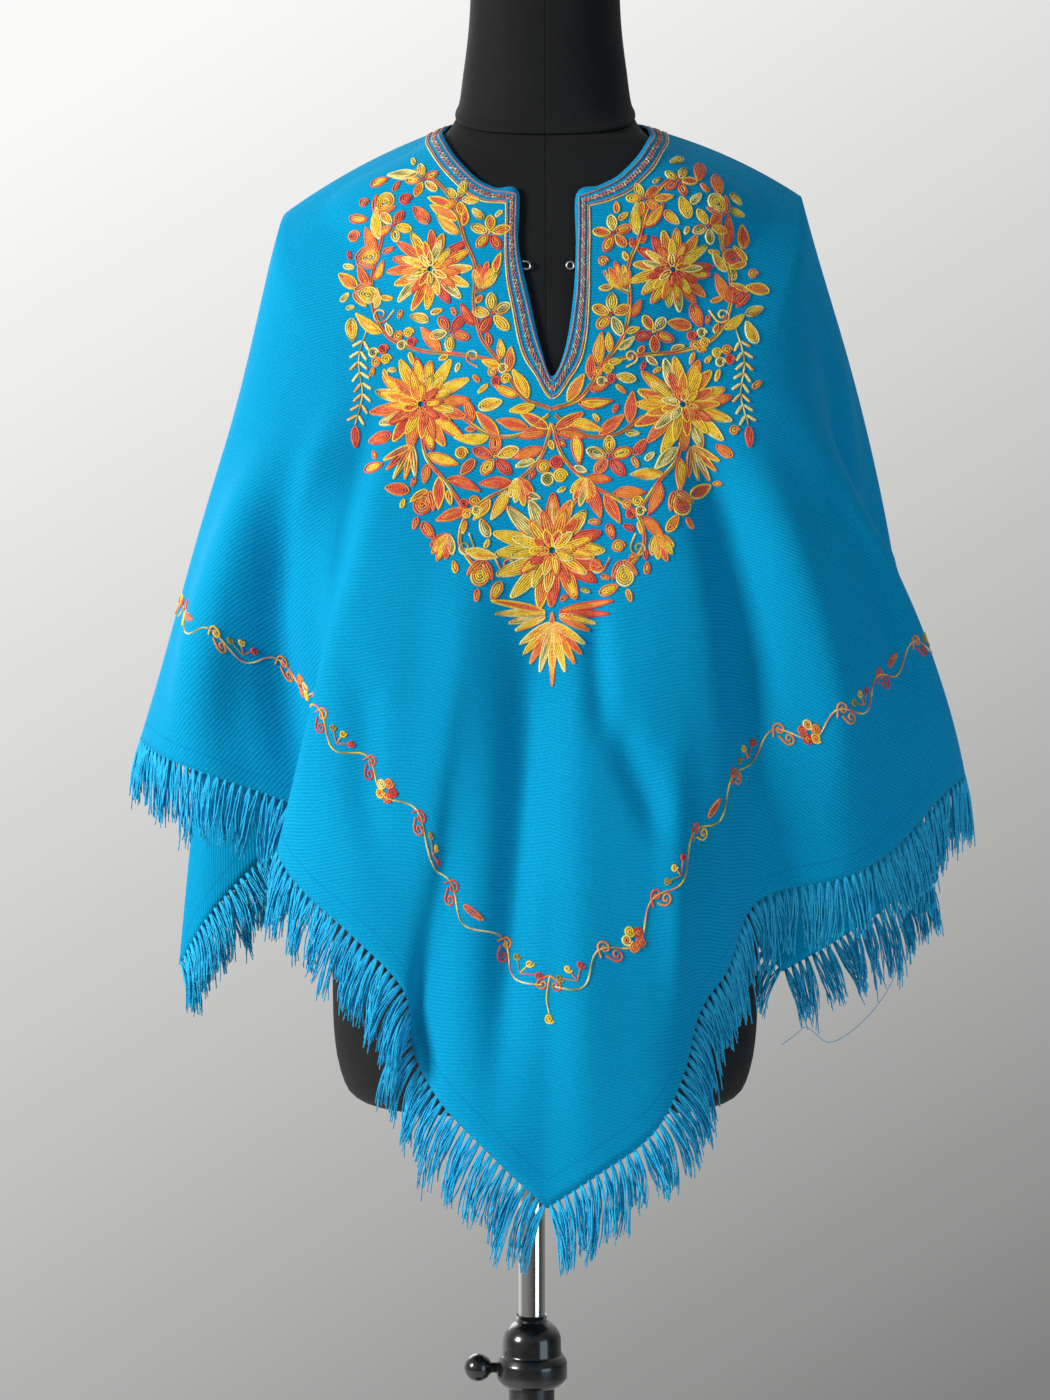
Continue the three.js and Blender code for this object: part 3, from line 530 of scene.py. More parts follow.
class Look:
    """A node material, built step by step."""

    def __init__(self, name, **values):
        self.material = bpy.data.materials.new(name)
        self.material.use_nodes = True
        self.tree = self.material.node_tree
        self.nodes = self.tree.nodes
        self.links = self.tree.links
        self.shader = self.nodes["Principled BSDF"]
        for socket, value in values.items():
            self.shader.inputs[socket.replace("_", " ")].default_value = value

    def add(self, kind, **inputs):
        node = self.nodes.new(kind)
        for socket, value in inputs.items():
            self.set(node, socket.replace("_", " "), value)
        return node

    def set(self, node, socket, value):
        target = node.inputs[int(socket[1:])] if socket[:1] == "i" and socket[1:].isdigit() \
            else node.inputs[socket]
        if isinstance(value, bpy.types.NodeSocket):
            self.links.new(value, target)
        else:
            target.default_value = value

    def maths(self, operation, a, b=0.0):
        return maths_node(self.tree, operation, a, b)

    def plus(self, a, b):
        return self.maths("ADD", a, b)

    def times(self, a, b):
        return self.maths("MULTIPLY", a, b)

    def noise(self, scale, detail=2, place=None, roughness=0.5):
        node = self.add("ShaderNodeTexNoise", Scale=scale, Detail=detail, Roughness=roughness)
        if place is not None:
            self.links.new(place, node.inputs["Vector"])
        return node.outputs["Fac"]

    def mix(self, share, first, second):
        node = self.nodes.new("ShaderNodeMix")
        node.data_type = "RGBA"
        self.set(node, "i0", share)
        self.set(node, "i6", first)
        self.set(node, "i7", second)
        return node.outputs[2]

    def ramp(self, value, low, high):
        node = self.add("ShaderNodeMapRange", Value=value)
        node.inputs["From Min"].default_value = low
        node.inputs["From Max"].default_value = high
        return node.outputs[0]

    def bump(self, height, strength, distance, normal=None):
        node = self.add("ShaderNodeBump", Strength=strength, Distance=distance, Height=height)
        if normal is not None:
            self.links.new(normal, node.inputs["Normal"])
        return node.outputs[0]

    def place(self):
        return self.add("ShaderNodeTexCoord").outputs["Object"]

    def give(self, socket, value):
        self.set(self.shader, socket, value)


def colour(red, green, blue):
    """A screen colour, 0 to 255, as the linear values that a shader takes."""
    values = [part / 255 for part in (red, green, blue)]
    linear = [v / 12.92 if v <= 0.04045 else ((v + 0.055) / 1.055) ** 2.4 for v in values]
    return (*linear, 1)


RIB_PITCH = 2.5       # of the cloth's weave, along the flat square's front-to-back diagonal
TWILL_PITCH = 1.5
HEM_STITCH = 14       # from the hem's edge to its stitching


def cloth_look():
    look = Look("ribbed_twill", Roughness=0.85, Specular_IOR_Level=0.06, Sheen_Weight=0.02)
    cut = look.add("ShaderNodeUVMap")
    cut.uv_map = "flat_cut"
    parts = look.add("ShaderNodeSeparateXYZ", Vector=cut.outputs[0])
    wander = look.noise(9, 2, cut.outputs[0])
    along = look.times(parts.outputs["Y"], 2 * math.pi / (RIB_PITCH * MM))
    rib = look.maths("SINE", look.plus(along, look.times(wander, 2.0)))
    slant = look.times(look.plus(parts.outputs["X"], look.times(parts.outputs["Y"], 0.55)),
                       2 * math.pi / (TWILL_PITCH * MM))
    twill = look.maths("SINE", look.plus(slant, look.times(wander, 9.0)))
    yarn = look.noise(900, 2, cut.outputs[0])
    broad = look.noise(7, 3, cut.outputs[0])
    base = look.mix(look.ramp(broad, 0.3, 0.7), colour(0, 146, 196), colour(0, 158, 207))
    # Darker colour in the rib's troughs, where the bump is low: painted shade
    ribbed = look.mix(look.ramp(rib, -1.8, 1.0), colour(0, 124, 176), base)
    flecked = look.mix(look.ramp(yarn, 0.5, 0.8), ribbed, colour(4, 178, 224))
    off_middle = look.plus(look.maths("ABSOLUTE", parts.outputs["X"]),
                           look.maths("ABSOLUTE", parts.outputs["Y"]))
    in_from_hem = look.maths("SUBTRACT", HALF_DIAGONAL * MM, off_middle)
    off_stitch = look.maths("ABSOLUTE", look.maths(
        "SUBTRACT", in_from_hem, HEM_STITCH * math.sqrt(2) * MM))
    # Darker along the hem's stitching, where the bump also sinks into a groove: painted shade in the
    # stitch's crease
    seam = look.ramp(off_stitch, 0.0, 0.0016)
    flecked = look.mix(seam, colour(0, 134, 190), flecked)
    look.give("Base Color", flecked)
    height = look.plus(look.times(rib, 0.6), look.plus(look.times(twill, 0.25), look.times(yarn, 0.5)))
    height = look.plus(height, look.times(seam, 0.8))
    look.give("Normal", look.bump(height, 0.34, 0.0005))
    return look.material


def fringe_look():
    look = Look("loose_yarn", Roughness=0.85, Specular_IOR_Level=0.12, Sheen_Weight=0.05)
    place = look.place()
    tint = look.noise(160, 2, place)
    twist = look.noise(1400, 2, place)
    base = look.mix(look.ramp(tint, 0.3, 0.7), colour(0, 158, 214), colour(34, 188, 234))
    look.give("Base Color", look.mix(look.ramp(twist, 0.5, 0.75), base, colour(96, 212, 244)))
    look.give("Normal", look.bump(twist, 0.4, 0.0004))
    return look.material


def thread_look():
    look = Look("chain_stitch_thread", Roughness=0.6, Sheen_Weight=0.15)
    shade = look.add("ShaderNodeAttribute")
    shade.attribute_name = "thread"
    place = look.place()
    ply = look.noise(1800, 2, place)
    tint = look.noise(240, 1, place)
    darker = look.add("ShaderNodeHueSaturation", Value=0.72, Saturation=1.05,
                      Color=shade.outputs["Color"])
    mixed = look.mix(look.ramp(ply, 0.35, 0.6), darker.outputs[0], shade.outputs["Color"])
    lighter = look.add("ShaderNodeHueSaturation", Value=1.12, Saturation=0.95, Color=mixed)
    look.give("Base Color", look.mix(look.ramp(tint, 0.4, 0.7), mixed, lighter.outputs[0]))
    look.give("Normal", look.bump(ply, 0.5, 0.0004))
    return look.material


def jersey_look():
    look = Look("black_jersey", Roughness=0.85, Specular_IOR_Level=0.25, Sheen_Weight=0.02)
    place = look.place()
    parts = look.add("ShaderNodeSeparateXYZ", Vector=place)
    row = look.maths("SINE", look.plus(look.times(parts.outputs["Z"], 2 * math.pi / 0.0016),
        look.times(look.noise(60, 2, place), 5.0)))
    fuzz = look.noise(1100, 3, place)
    tone = look.noise(14, 3, place)
    seam = look.maths("ABSOLUTE", look.maths(
        "SUBTRACT", parts.outputs["X"], FIGURE_OFFSET * MM))
    by_seam = look.ramp(seam, 0.0, 0.0011)
    base = look.mix(look.ramp(tone, 0.3, 0.7), colour(10, 11, 12), colour(18, 19, 21))
    flecked = look.mix(look.ramp(fuzz, 0.5, 0.85), base, colour(30, 31, 34))
    look.give("Base Color", look.mix(by_seam, colour(4, 4, 5), flecked))
    height = look.plus(look.times(row, 0.25), look.plus(look.times(fuzz, 0.6), look.times(by_seam, 1.6)))
    look.give("Normal", look.bump(height, 0.4, 0.0006))
    return look.material


def metal_look(name, tone, roughness, worn):
    look = Look(name, Metallic=1.0)
    place = look.place()
    smudge = look.noise(35, 4, place)
    scratch = look.noise(700, 2, place)
    look.give("Base Color", look.mix(look.ramp(smudge, 0.3, 0.8), tone, tuple(
        part * 0.86 for part in tone[:3]) + (1,)))
    rough = look.plus(roughness, look.times(smudge, worn))
    look.give("Roughness", rough)
    look.give("Normal", look.bump(scratch, 0.06, 0.0002))
    return look.material


def gloss_look(name, tone, roughness, coat):
    look = Look(name, Coat_Weight=coat, Coat_Roughness=0.06)
    place = look.place()
    dust = look.noise(90, 5, place)
    look.give("Base Color", look.mix(look.ramp(dust, 0.45, 0.95), tone, colour(40, 41, 43)))
    look.give("Roughness", look.plus(roughness, look.times(dust, 0.16)))
    look.give("Normal", look.bump(look.noise(320, 2, place), 0.08, 0.0003))
    return look.material


def floor_look():
    look = Look("pale_floor", Roughness=0.7)
    place = look.place()
    cloud = look.noise(1.3, 4, place)
    look.give("Base Color", look.mix(cloud, colour(214, 213, 211), colour(224, 223, 221)))
    return look.material


LOOKS = {
    "cloth": cloth_look(),
    "fringe": fringe_look(),
    "thread": thread_look(),
    "jersey": jersey_look(),
    "hook": metal_look("hook_wire", colour(205, 205, 208), 0.22, 0.1),
    "chrome": metal_look("polished_bar", colour(228, 225, 219), 0.06, 0.08),
    "plastic": gloss_look("glossy_black", colour(9, 9, 10), 0.16, 0.6),
    "stand": gloss_look("satin_black_paint", colour(15, 15, 16), 0.34, 0.15),
}


def finish_piece(piece, look, body, nodes=()):
    piece.data.materials.append(LOOKS[look])
    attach(piece, body)
    if nodes:
        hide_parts(*nodes)
    return piece


# Camera, lights and floor

def make_camera():
    data = bpy.data.cameras.new("camera")
    data.sensor_fit = "AUTO"
    data.angle = CAMERA_ANGLE
    data.clip_start = 0.05
    camera = bpy.data.objects.new("camera", data)
    camera.location = CAMERA_PLACE
    camera.rotation_euler = (math.pi / 2, 0, 0)
    into_scene(camera)
    bpy.context.scene.camera = camera


def area_light(name, place, aim, size, power, tint=(1, 1, 1)):
    data = bpy.data.lights.new(name, "AREA")
    data.shape = "RECTANGLE"
    data.size, data.size_y = size
    data.energy = power
    data.color = tint
    light = bpy.data.objects.new(name, data)
    light.location = place
    direction = Vector(aim) - Vector(place)
    light.rotation_euler = direction.to_track_quat("-Z", "Y").to_euler()
    into_scene(light)


FLOOR_RADIUS = 2.0
FLOOR_SIDES = 96
FLOOR_HEIGHT = -0.0005    # just under the base


def make_world():
    """A pale room: brighter to the upper left and behind the garment."""
    world = bpy.data.worlds.new("pale_room")
    world.use_nodes = True
    nodes = world.node_tree.nodes
    links = world.node_tree.links
    way = nodes.new("ShaderNodeTexCoord")
    parts = nodes.new("ShaderNodeSeparateXYZ")
    links.new(way.outputs["Generated"], parts.inputs[0])

    def maths(operation, first, second):
        return maths_node(world.node_tree, operation, first, second)

    across = maths("MULTIPLY", parts.outputs["X"], -0.62)
    up = maths("MULTIPLY", parts.outputs["Z"], 1.05)
    level = maths("ADD", maths("ADD", across, up), 0.6)
    level = maths("MINIMUM", maths("MAXIMUM", level, 0.22), 0.95)
    behind = maths("MINIMUM", maths("MAXIMUM", maths("ADD", parts.outputs["Y"], 0.1), 0), 0.7)
    level = maths("MULTIPLY", level, maths("ADD", maths("MULTIPLY", behind, 1.03), 0.29))
    links.new(level, nodes["Background"].inputs["Strength"])
    nodes["Background"].inputs["Color"].default_value = (1, 0.995, 0.985, 1)
    bpy.context.scene.world = world


def make_studio():
    area_light("key", (-2.6, -1.5, 1.9), (0, 0, 1.2), (0.9, 0.9), 112, (1, 0.99, 0.95))
    area_light("fill", (2.2, -2.0, 0.8), (0.1, 0, 0.95), (1.6, 1.6), 22, (0.6, 0.82, 1))
    area_light("back", (-1.2, 2.6, 2.3), (0, 0, 1.2), (2.0, 1.6), 34)
    make_world()
    bpy.context.scene.view_settings.view_transform = "Standard"
    angles = ring_angles(FLOOR_SIDES)
    points = np.column_stack([np.cos(angles), np.sin(angles), 0 * angles]) * FLOOR_RADIUS
    floor = new_piece("floor", points, [list(range(FLOOR_SIDES))], smooth=False)
    floor.location.z = FLOOR_HEIGHT
    floor.data.materials.append(floor_look())


# The cloth

def make_cloth(cloth):
    rows, count = cloth.grid.shape[:2]
    outer = cloth.grid + cloth.normals * SHELL_HALF
    inner = cloth.grid - cloth.normals * SHELL_HALF
    points = to_world(np.vstack([outer.reshape(-1, 3), inner.reshape(-1, 3)]))
    half = rows * count
    faces = np.vstack([cloth.quads, cloth.quads[:, ::-1] + half]).tolist()
    last = (rows - 1) * count
    for column in range(count):
        after = (column + 1) % count
        faces.append([column, after, half + after, half + column])
        faces.append([last + after, last + column, half + last + column, half + last + after])
    piece = new_piece("poncho_shell", points, faces)
    uv = piece.data.uv_layers.new(name="flat_cut")
    flat = np.vstack([cloth.flat.reshape(-1, 2)] * 2) * MM
    corner_points = np.zeros(len(piece.data.loops), int)
    piece.data.loops.foreach_get("vertex_index", corner_points)
    uv.data.foreach_set("uv", flat[corner_points].ravel())
    return finish_piece(piece, "cloth", "figure", ["poncho_cloth"])


# Chain-stitch threadwork

ROW_WIDTH = 1.8
ROW_HEIGHT = 0.9
ROW_PITCH = 1.5           # between rows that lie side by side
HALF_STITCH = 1.3
DESIGN_CENTRE = 4         # the yoke's design stands this far to the right of the form's middle
END_SWELL = 0.55          # a row's width at its ends, as a share
SHADE_SPREAD = 0.07       # how much a row's brightness varies along it
PAINTED_ROW_SHADING = np.array([0.62, 0.95, 1.05, 0.95, 0.62])    # painted shade and light across a row: darker at its edges against the cloth, a little lighter along its crest
LEAF_LENGTHS = (26, 21, 17, 13, 10)
GAP_RADII = (7, 5.8, 4.8, 3.8, 3.1)
GAP_TRIES = 3000
SECTION = np.array([(-0.5, -0.25), (-0.3, 0.7), (0, 1), (0.3, 0.7), (0.5, -0.25)])

THREADS = {
    "yellow": colour(252, 208, 40), "orange": colour(244, 140, 44), "coral": colour(232, 92, 58),
    "red": colour(216, 58, 50), "olive": colour(150, 142, 62), "cream": colour(244, 226, 140),
    "salmon": colour(218, 116, 96), "mauve": colour(176, 110, 130),
}


def smooth_line(points, step=2.0):
    """A smooth curve through the points given, with a point every step."""
    points = np.asarray(points, float)
    reach = lengths_along(points)
    count = max(2, int(reach[-1] / step) + 1)
    return through_table(np.column_stack([reach, points]), np.linspace(0, reach[-1], count))


def even_line(points, step):
    points = np.asarray(points, float)
    reach = lengths_along(points)
    count = max(2, int(round(reach[-1] / step)) + 1)
    at = np.linspace(0, reach[-1], count)
    return np.column_stack([np.interp(at, reach, points[:, 0]), np.interp(at, reach, points[:, 1])])


def beside(line, distance):
    """The line moved to its left by the distance."""
    ahead = unit(np.gradient(line, axis=0))
    return line + np.column_stack([-ahead[:, 1], ahead[:, 0]]) * distance


def turned(points, angle, base):
    cos, sin = math.cos(angle), math.sin(angle)
    points = np.asarray(points, float)
    return points @ np.array([[cos, sin], [-sin, cos]]) + base


class Threadwork:
    """Rows of chain stitch laid on the cloth as raised ribbons, each with its own shades."""

    covered = {}

    def __init__(self, place, seed):
        self.place = place
        self.rng = np.random.default_rng(seed)
        self.points = []
        self.shades = []
        self.faces = []
        self.count = 0

    def pick(self, *names):
        return str(self.rng.choice(names))

    def row(self, line, first, second=None, width=ROW_WIDTH, lift=0.0):
        line = even_line(line, HALF_STITCH)
        hits = [self.place(x, y) for x, y in line]
        if any(hit is None for hit in hits):
            return
        points = np.array([hit[0] for hit in hits])
        normals = unit(np.array([hit[1] for hit in hits]))
        if np.max(np.linalg.norm(np.diff(points, axis=0), axis=1)) > 4 * HALF_STITCH:
            return
        ahead = unit(np.gradient(points, axis=0))
        side = unit(np.cross(normals, ahead))
        step = np.arange(len(line))
        swell = np.where(step % 2, 1.0, 0.8)
        swell[[0, -1]] = END_SWELL
        across = SECTION[None, :, :1] * swell[:, None, None] * width
        up = SECTION[None, :, 1:] * (0.45 + 0.55 * swell[:, None, None]) * ROW_HEIGHT + lift
        self.points.append(
            (points[:, None] + side[:, None] * across + normals[:, None] * up).reshape(-1, 3))
        share = 0.5 + 0.5 * np.sin(self.rng.uniform(0, 6.3) + step * 0.33)
        start = np.array(THREADS[first][:3])
        end = np.array(THREADS[second or first][:3])
        tone = start + (end - start) * share[:, None]
        tone = tone * (1 + self.rng.normal(0, SHADE_SPREAD, len(line) // 2 + 1)[step // 2])[:, None]
        # Thread colours, with painted shade darkening each row's edges where it meets the cloth and a
        # slight painted highlight along its crest
        shade = np.ones((len(line), 5, 4))
        shade[:, :, :3] = np.clip(tone[:, None] * PAINTED_ROW_SHADING[None, :, None], 0, 1)
        self.shades.append(shade.reshape(-1, 4))
        base = self.count + 5 * step[:-1, None] + np.arange(4)[None]
        self.faces.append(np.stack([base, base + 5, base + 6, base + 1], axis=-1).reshape(-1, 4))
        self.count += 5 * len(line)
        for x, y, z in points:
            if y < 0:
                self.cover(x - DESIGN_CENTRE, z)

    def cover(self, x, z):
        for across in (-1, 0, 1):
            for up in (-1, 0, 1):
                Threadwork.covered[(int(round(x + across)), int(round(z + up)))] = True

    def is_free(self, x, z):
        return (int(round(x)), int(round(z))) not in Threadwork.covered

    def petal(self, base, angle, length, width, rim, fill, bend=0.0, widest=0.8, round_tip=0.75,
              lift=0.0):
        """A petal or leaf of rows inside each other, from its base towards its tip."""
        widest_row = (width - ROW_WIDTH) / 2
        rows = max(1, round(widest_row / ROW_PITCH))
        for inset in range(rows + 1):
            half = widest_row * (1 - inset / rows)
            trim = (ROW_WIDTH / 2 + inset * ROW_PITCH * 1.3) / length
            if trim > 0.4:
                return
            share = (1 - np.cos(np.linspace(0, math.pi, 9))) / 2
            along = trim + (1 - 2 * trim) * share
            full = np.sin(math.pi * share ** widest) ** round_tip
            axis = bend * length * along ** 2
            shade = rim if inset == 0 else fill
            if inset == rows:
                line = np.column_stack([along * length, axis])
            else:
                out = np.column_stack([along * length, axis + half * full])
                back = np.column_stack([along * length, axis - half * full])[::-1]
                line = np.vstack([out, back])
            second = self.pick(shade, shade, "orange") if shade != "olive" else "cream"
            self.row(turned(line, angle, base), shade, second, lift=lift + 0.12)

    def disc(self, centre, radius, rim, fill):
        """A disc of one spiral row."""
        start = radius - ROW_WIDTH / 2
        turns = start / ROW_PITCH
        angle = np.linspace(0, 2 * math.pi * turns, max(6, int(12 * turns)))
        reach = start * (1 - angle / angle[-1]) ** 1.15 + 0.15
        spiral = np.column_stack([np.cos(angle), np.sin(angle)]) * reach[:, None] + centre
        split = min(len(angle) - 2, 13)
        self.row(spiral[:split + 1], rim, lift=0.2)
        self.row(spiral[split:], fill, lift=0.24)

    def pair(self):
        """A rim and a fill that stand out from each other."""
        pairs = [("yellow", "coral"), ("coral", "yellow"), ("orange", "yellow"), ("cream", "olive"),
                 ("yellow", "orange"), ("coral", "orange"), ("olive", "yellow"), ("red", "coral"),
                 ("cream", "yellow"), ("orange", "coral"), ("yellow", "yellow")]
        return pairs[self.rng.integers(len(pairs))]

    def flower(self, centre, radius, turn=0.0, petals=5):
        for number in range(petals):
            angle = turn + 2 * math.pi * number / petals + self.rng.normal(0, 0.07)
            base = np.array(centre) + polar(angle) * 1.2
            rim, fill = self.pair()
            self.petal(base, angle, radius * self.rng.uniform(0.92, 1.1) - 1.0, radius * 0.56, rim,
                       fill, round_tip=0.6, widest=1.1)
        self.disc(centre, 2.4, self.pick("coral", "red", "yellow"), "orange")

    def bloom(self, centre, radius, outer=16, inner=9):
        """A many-petalled flower: long petals below, short ones over them."""
        centre = np.array(centre, float)
        layers = ((outer, 0.3, 0.72, 0.27, 0.0), (outer - 3, 0.16, 0.56, 0.22, 0.45),
                  (inner, 0.04, 0.4, 0.2, 0.9))
        for count, start, length, width, lift in layers:
            turn = self.rng.uniform(0, 1)
            for number in range(count):
                angle = 2 * math.pi * (number + turn + self.rng.uniform(-0.2, 0.2)) / count
                base = centre + polar(angle) * radius * start
                rim, fill = self.pair()
                self.petal(base, angle, radius * length * self.rng.uniform(0.85, 1.1),
                           radius * width, rim, fill, bend=self.rng.uniform(-0.12, 0.12),
                           round_tip=0.6, lift=lift)

    def berries(self, centre, radius=4.7, tail=None):
        gap = radius * 0.98
        shades = [("coral", "red"), ("yellow", "yellow"), ("cream", "olive"), ("orange", "yellow")]
        self.rng.shuffle(shades)
        spots = [(-gap, gap * 0.5), (gap * 0.55, gap), (gap, -gap * 0.55), (-gap * 0.5, -gap)]
        for spot, (rim, fill) in zip(spots, shades):
            self.disc(np.array(centre) + spot, radius, rim, fill)
        if tail is not None:
            start = np.array(centre) + polar(tail) * radius * 2
            self.petal(start, tail, 11, 4.4, "yellow", "orange")

    def drop(self, centre, angle, size=1.0):
        """A round bud with sepals and a tail."""
        ahead = polar(angle)
        centre = np.array(centre, float)
        for way in (-1, 1):
            self.petal(centre - ahead * 8.5 * size, angle + way * 0.85, 13 * size, 5 * size,
                       self.pick("coral", "yellow", "salmon"), "orange", bend=-0.25 * way)
        rim, fill = self.pair()
        self.petal(centre - ahead * 6.5 * size, angle, 14 * size, 11.5 * size, rim, fill, widest=1.3,
                   round_tip=0.55)
        self.disc(centre + ahead * size, 2.6 * size, fill, rim)
        self.petal(centre + ahead * 8 * size, angle + 0.1, 9 * size, 4.2 * size,
                   self.pick("yellow", "coral"), "orange")

    def tulip(self, base, angle, size=1.0):
        """A fan of petals that opens from its base."""
        for number, spread in enumerate((-0.62, -0.32, 0, 0.32, 0.62)):
            rim, fill = self.pair()
            self.petal(base, angle + spread, (17 - 2.2 * abs(number - 2)) * size, 5.4 * size, rim,
                       fill, bend=-0.1 * spread, widest=1.1)

    def scroll(self, base, angle, size, way, first, second):
        """A stem that curls in at its end."""
        turns = np.linspace(0, 2.9, 30)
        reach = size * (1 - turns / 3.3)
        centre = np.array([size * 1.5, way * size * 0.9])
        curl = np.column_stack([
            np.sin(turns * math.pi) * reach, -way * np.cos(turns * math.pi) * reach]) + centre
        line = np.vstack([[(0, 0)], curl])
        self.row(turned(smooth_line(line, 1.2), angle, base), first, second, lift=0.05)

    def stem(self, points, first="salmon", second="olive", mirror=1, leaves=True):
        line = smooth_line(np.array(points, float) * (mirror, 1), 1.3)
        self.row(beside(line, 0.75), first, second)
        self.row(beside(line, -0.75), self.pick("cream", "yellow", "olive"), first)
        if not leaves:
            return
        reach = 8
        way = 1
        while reach < len(line) - 2:
            self.leaf_from(line[reach], line[reach + 1] - line[reach], way)
            reach += int(self.rng.integers(4, 6))
            way = -way

    def leaf_from(self, base, ahead, way):
        """A leaf to one side of a stem, as long as the free cloth lets it be."""
        heading = math.atan2(ahead[1], ahead[0]) + way * self.rng.uniform(0.6, 0.95)
        out = polar(heading)
        for length in LEAF_LENGTHS:
            spots = [base + out * (3 + (length - 2) * share) for share in (0, 0.35, 0.7, 1)]
            inside = all(inside_yoke(*spot) for spot in spots)
            if inside and all(self.is_free(*spot) for spot in spots[1:]):
                rim, fill = self.pair()
                self.petal(base + out * 1.2, heading, length - 1.2, length * 0.27 + 2.6, rim, fill,
                           bend=-way * self.rng.uniform(-0.1, 0.45), widest=0.85, round_tip=1.0)
                return

    def fill_gaps(self):
        """Small leaves and berries in what is still empty of the yoke."""
        low, high = YOKE_OUTLINE.min(axis=0), YOKE_OUTLINE.max(axis=0)
        for radius in GAP_RADII:
            ring = [(0.9 * radius * math.cos(a), 0.9 * radius * math.sin(a))
                    for a in np.linspace(0, 2 * math.pi, 13)[:-1]]
            for _ in range(GAP_TRIES):
                x = self.rng.uniform(-high[0], high[0])
                z = self.rng.uniform(low[1], high[1])
                if not inside_yoke(x, z) or not self.is_free(x, z):
                    continue
                if not all(self.is_free(x + dx, z + dz) for dx, dz in ring):
                    continue
                heading = self.rng.uniform(0, 2 * math.pi)
                rim, fill = self.pair()
                if 4 < radius < 6 and self.rng.random() < 0.3:
                    self.disc((x, z), radius * 0.95, rim, fill)
                else:
                    out = polar(heading)
                    self.petal(np.array([x, z]) - out * radius * 1.35, heading, radius * 2.7,
                               radius * 1.45, rim, fill, bend=self.rng.uniform(-0.2, 0.2))

    def make(self, name):
        piece = new_piece(name, to_world(np.vstack(self.points)), np.vstack(self.faces).tolist())
        # The thread colours per point, which carry the rows' painted edge shade and crest highlight
        shade = piece.data.color_attributes.new(name="thread", type="FLOAT_COLOR", domain="POINT")
        shade.data.foreach_set("color", np.vstack(self.shades).ravel())
        return finish_piece(piece, "thread", "figure")


# The yoke's design, right half: millimetres from its middle line, and up from the floor
YOKE_OUTLINE = np.array([
    (0, 1112), (22, 1146), (50, 1176), (77, 1210), (107, 1246), (128, 1272), (122, 1296),
    (142, 1294), (147, 1330), (143, 1365), (150, 1400), (144, 1440), (132, 1478), (98, 1498),
    (62, 1508), (0, 1508),
], float)
YOKE_BLOOMS = [(86, 1412, 31), (92, 1314, 36)]
YOKE_FLOWERS = [(44, 1438, 15, 0.4), (42, 1378, 16, 0.2), (72, 1366, 15, 1.0),
                (40, 1276, 17, 0.3), (66, 1464, 14, 0.7), (92, 1480, 13, 0.1), (113, 1446, 14, 0.9)]
YOKE_BERRIES = [(37, 1334, 5.6), (57, 1240, 5.0), (104, 1362, 4.4), (122, 1350, 4.4)]
YOKE_DROPS = [(131, 1424, 2.9), (132, 1396, 3.4), (120, 1464, 2.2), (90, 1243, 5.1), (50, 1193, 4.9)]
YOKE_TULIPS = [(50, 1396, 1.8), (72, 1222, 5.1), (24, 1262, 4.5)]
YOKE_SCROLLS = [(58, 1222, 4.4, 6, 1), (40, 1205, 4.2, 6, -1), (112, 1384, 5.4, 6, 1),
                (52, 1340, 0.6, 5, 1)]
YOKE_STEMS = [
    [(0, 1310), (20, 1318), (36, 1342), (50, 1362), (55, 1388), (54, 1412), (62, 1434), (68, 1456),
     (80, 1476), (98, 1489)],
    [(38, 1344), (62, 1349), (95, 1354), (116, 1364), (127, 1385), (128, 1412), (121, 1440),
     (123, 1465)],
    [(2, 1306), (22, 1292), (44, 1292), (66, 1306), (88, 1314)],
    [(0, 1300), (8, 1276), (28, 1256), (46, 1246), (60, 1234), (64, 1215), (54, 1198)],
    [(92, 1300), (88, 1276), (74, 1258), (62, 1240)],
    [(26, 1258), (16, 1244), (6, 1228), (0, 1212)],
    [(55, 1394), (43, 1400), (37, 1410)],
]
SPRIG_STEM = [(131, 1372), (137, 1348), (134, 1322), (139, 1300)]


def inside_yoke(x, z):
    x = abs(x)
    inside = False
    for (x1, z1), (x2, z2) in zip(YOKE_OUTLINE, np.roll(YOKE_OUTLINE, -1, axis=0)):
        if (z1 > z) != (z2 > z) and x < x1 + (z - z1) / (z2 - z1) * (x2 - x1):
            inside = not inside
    return inside


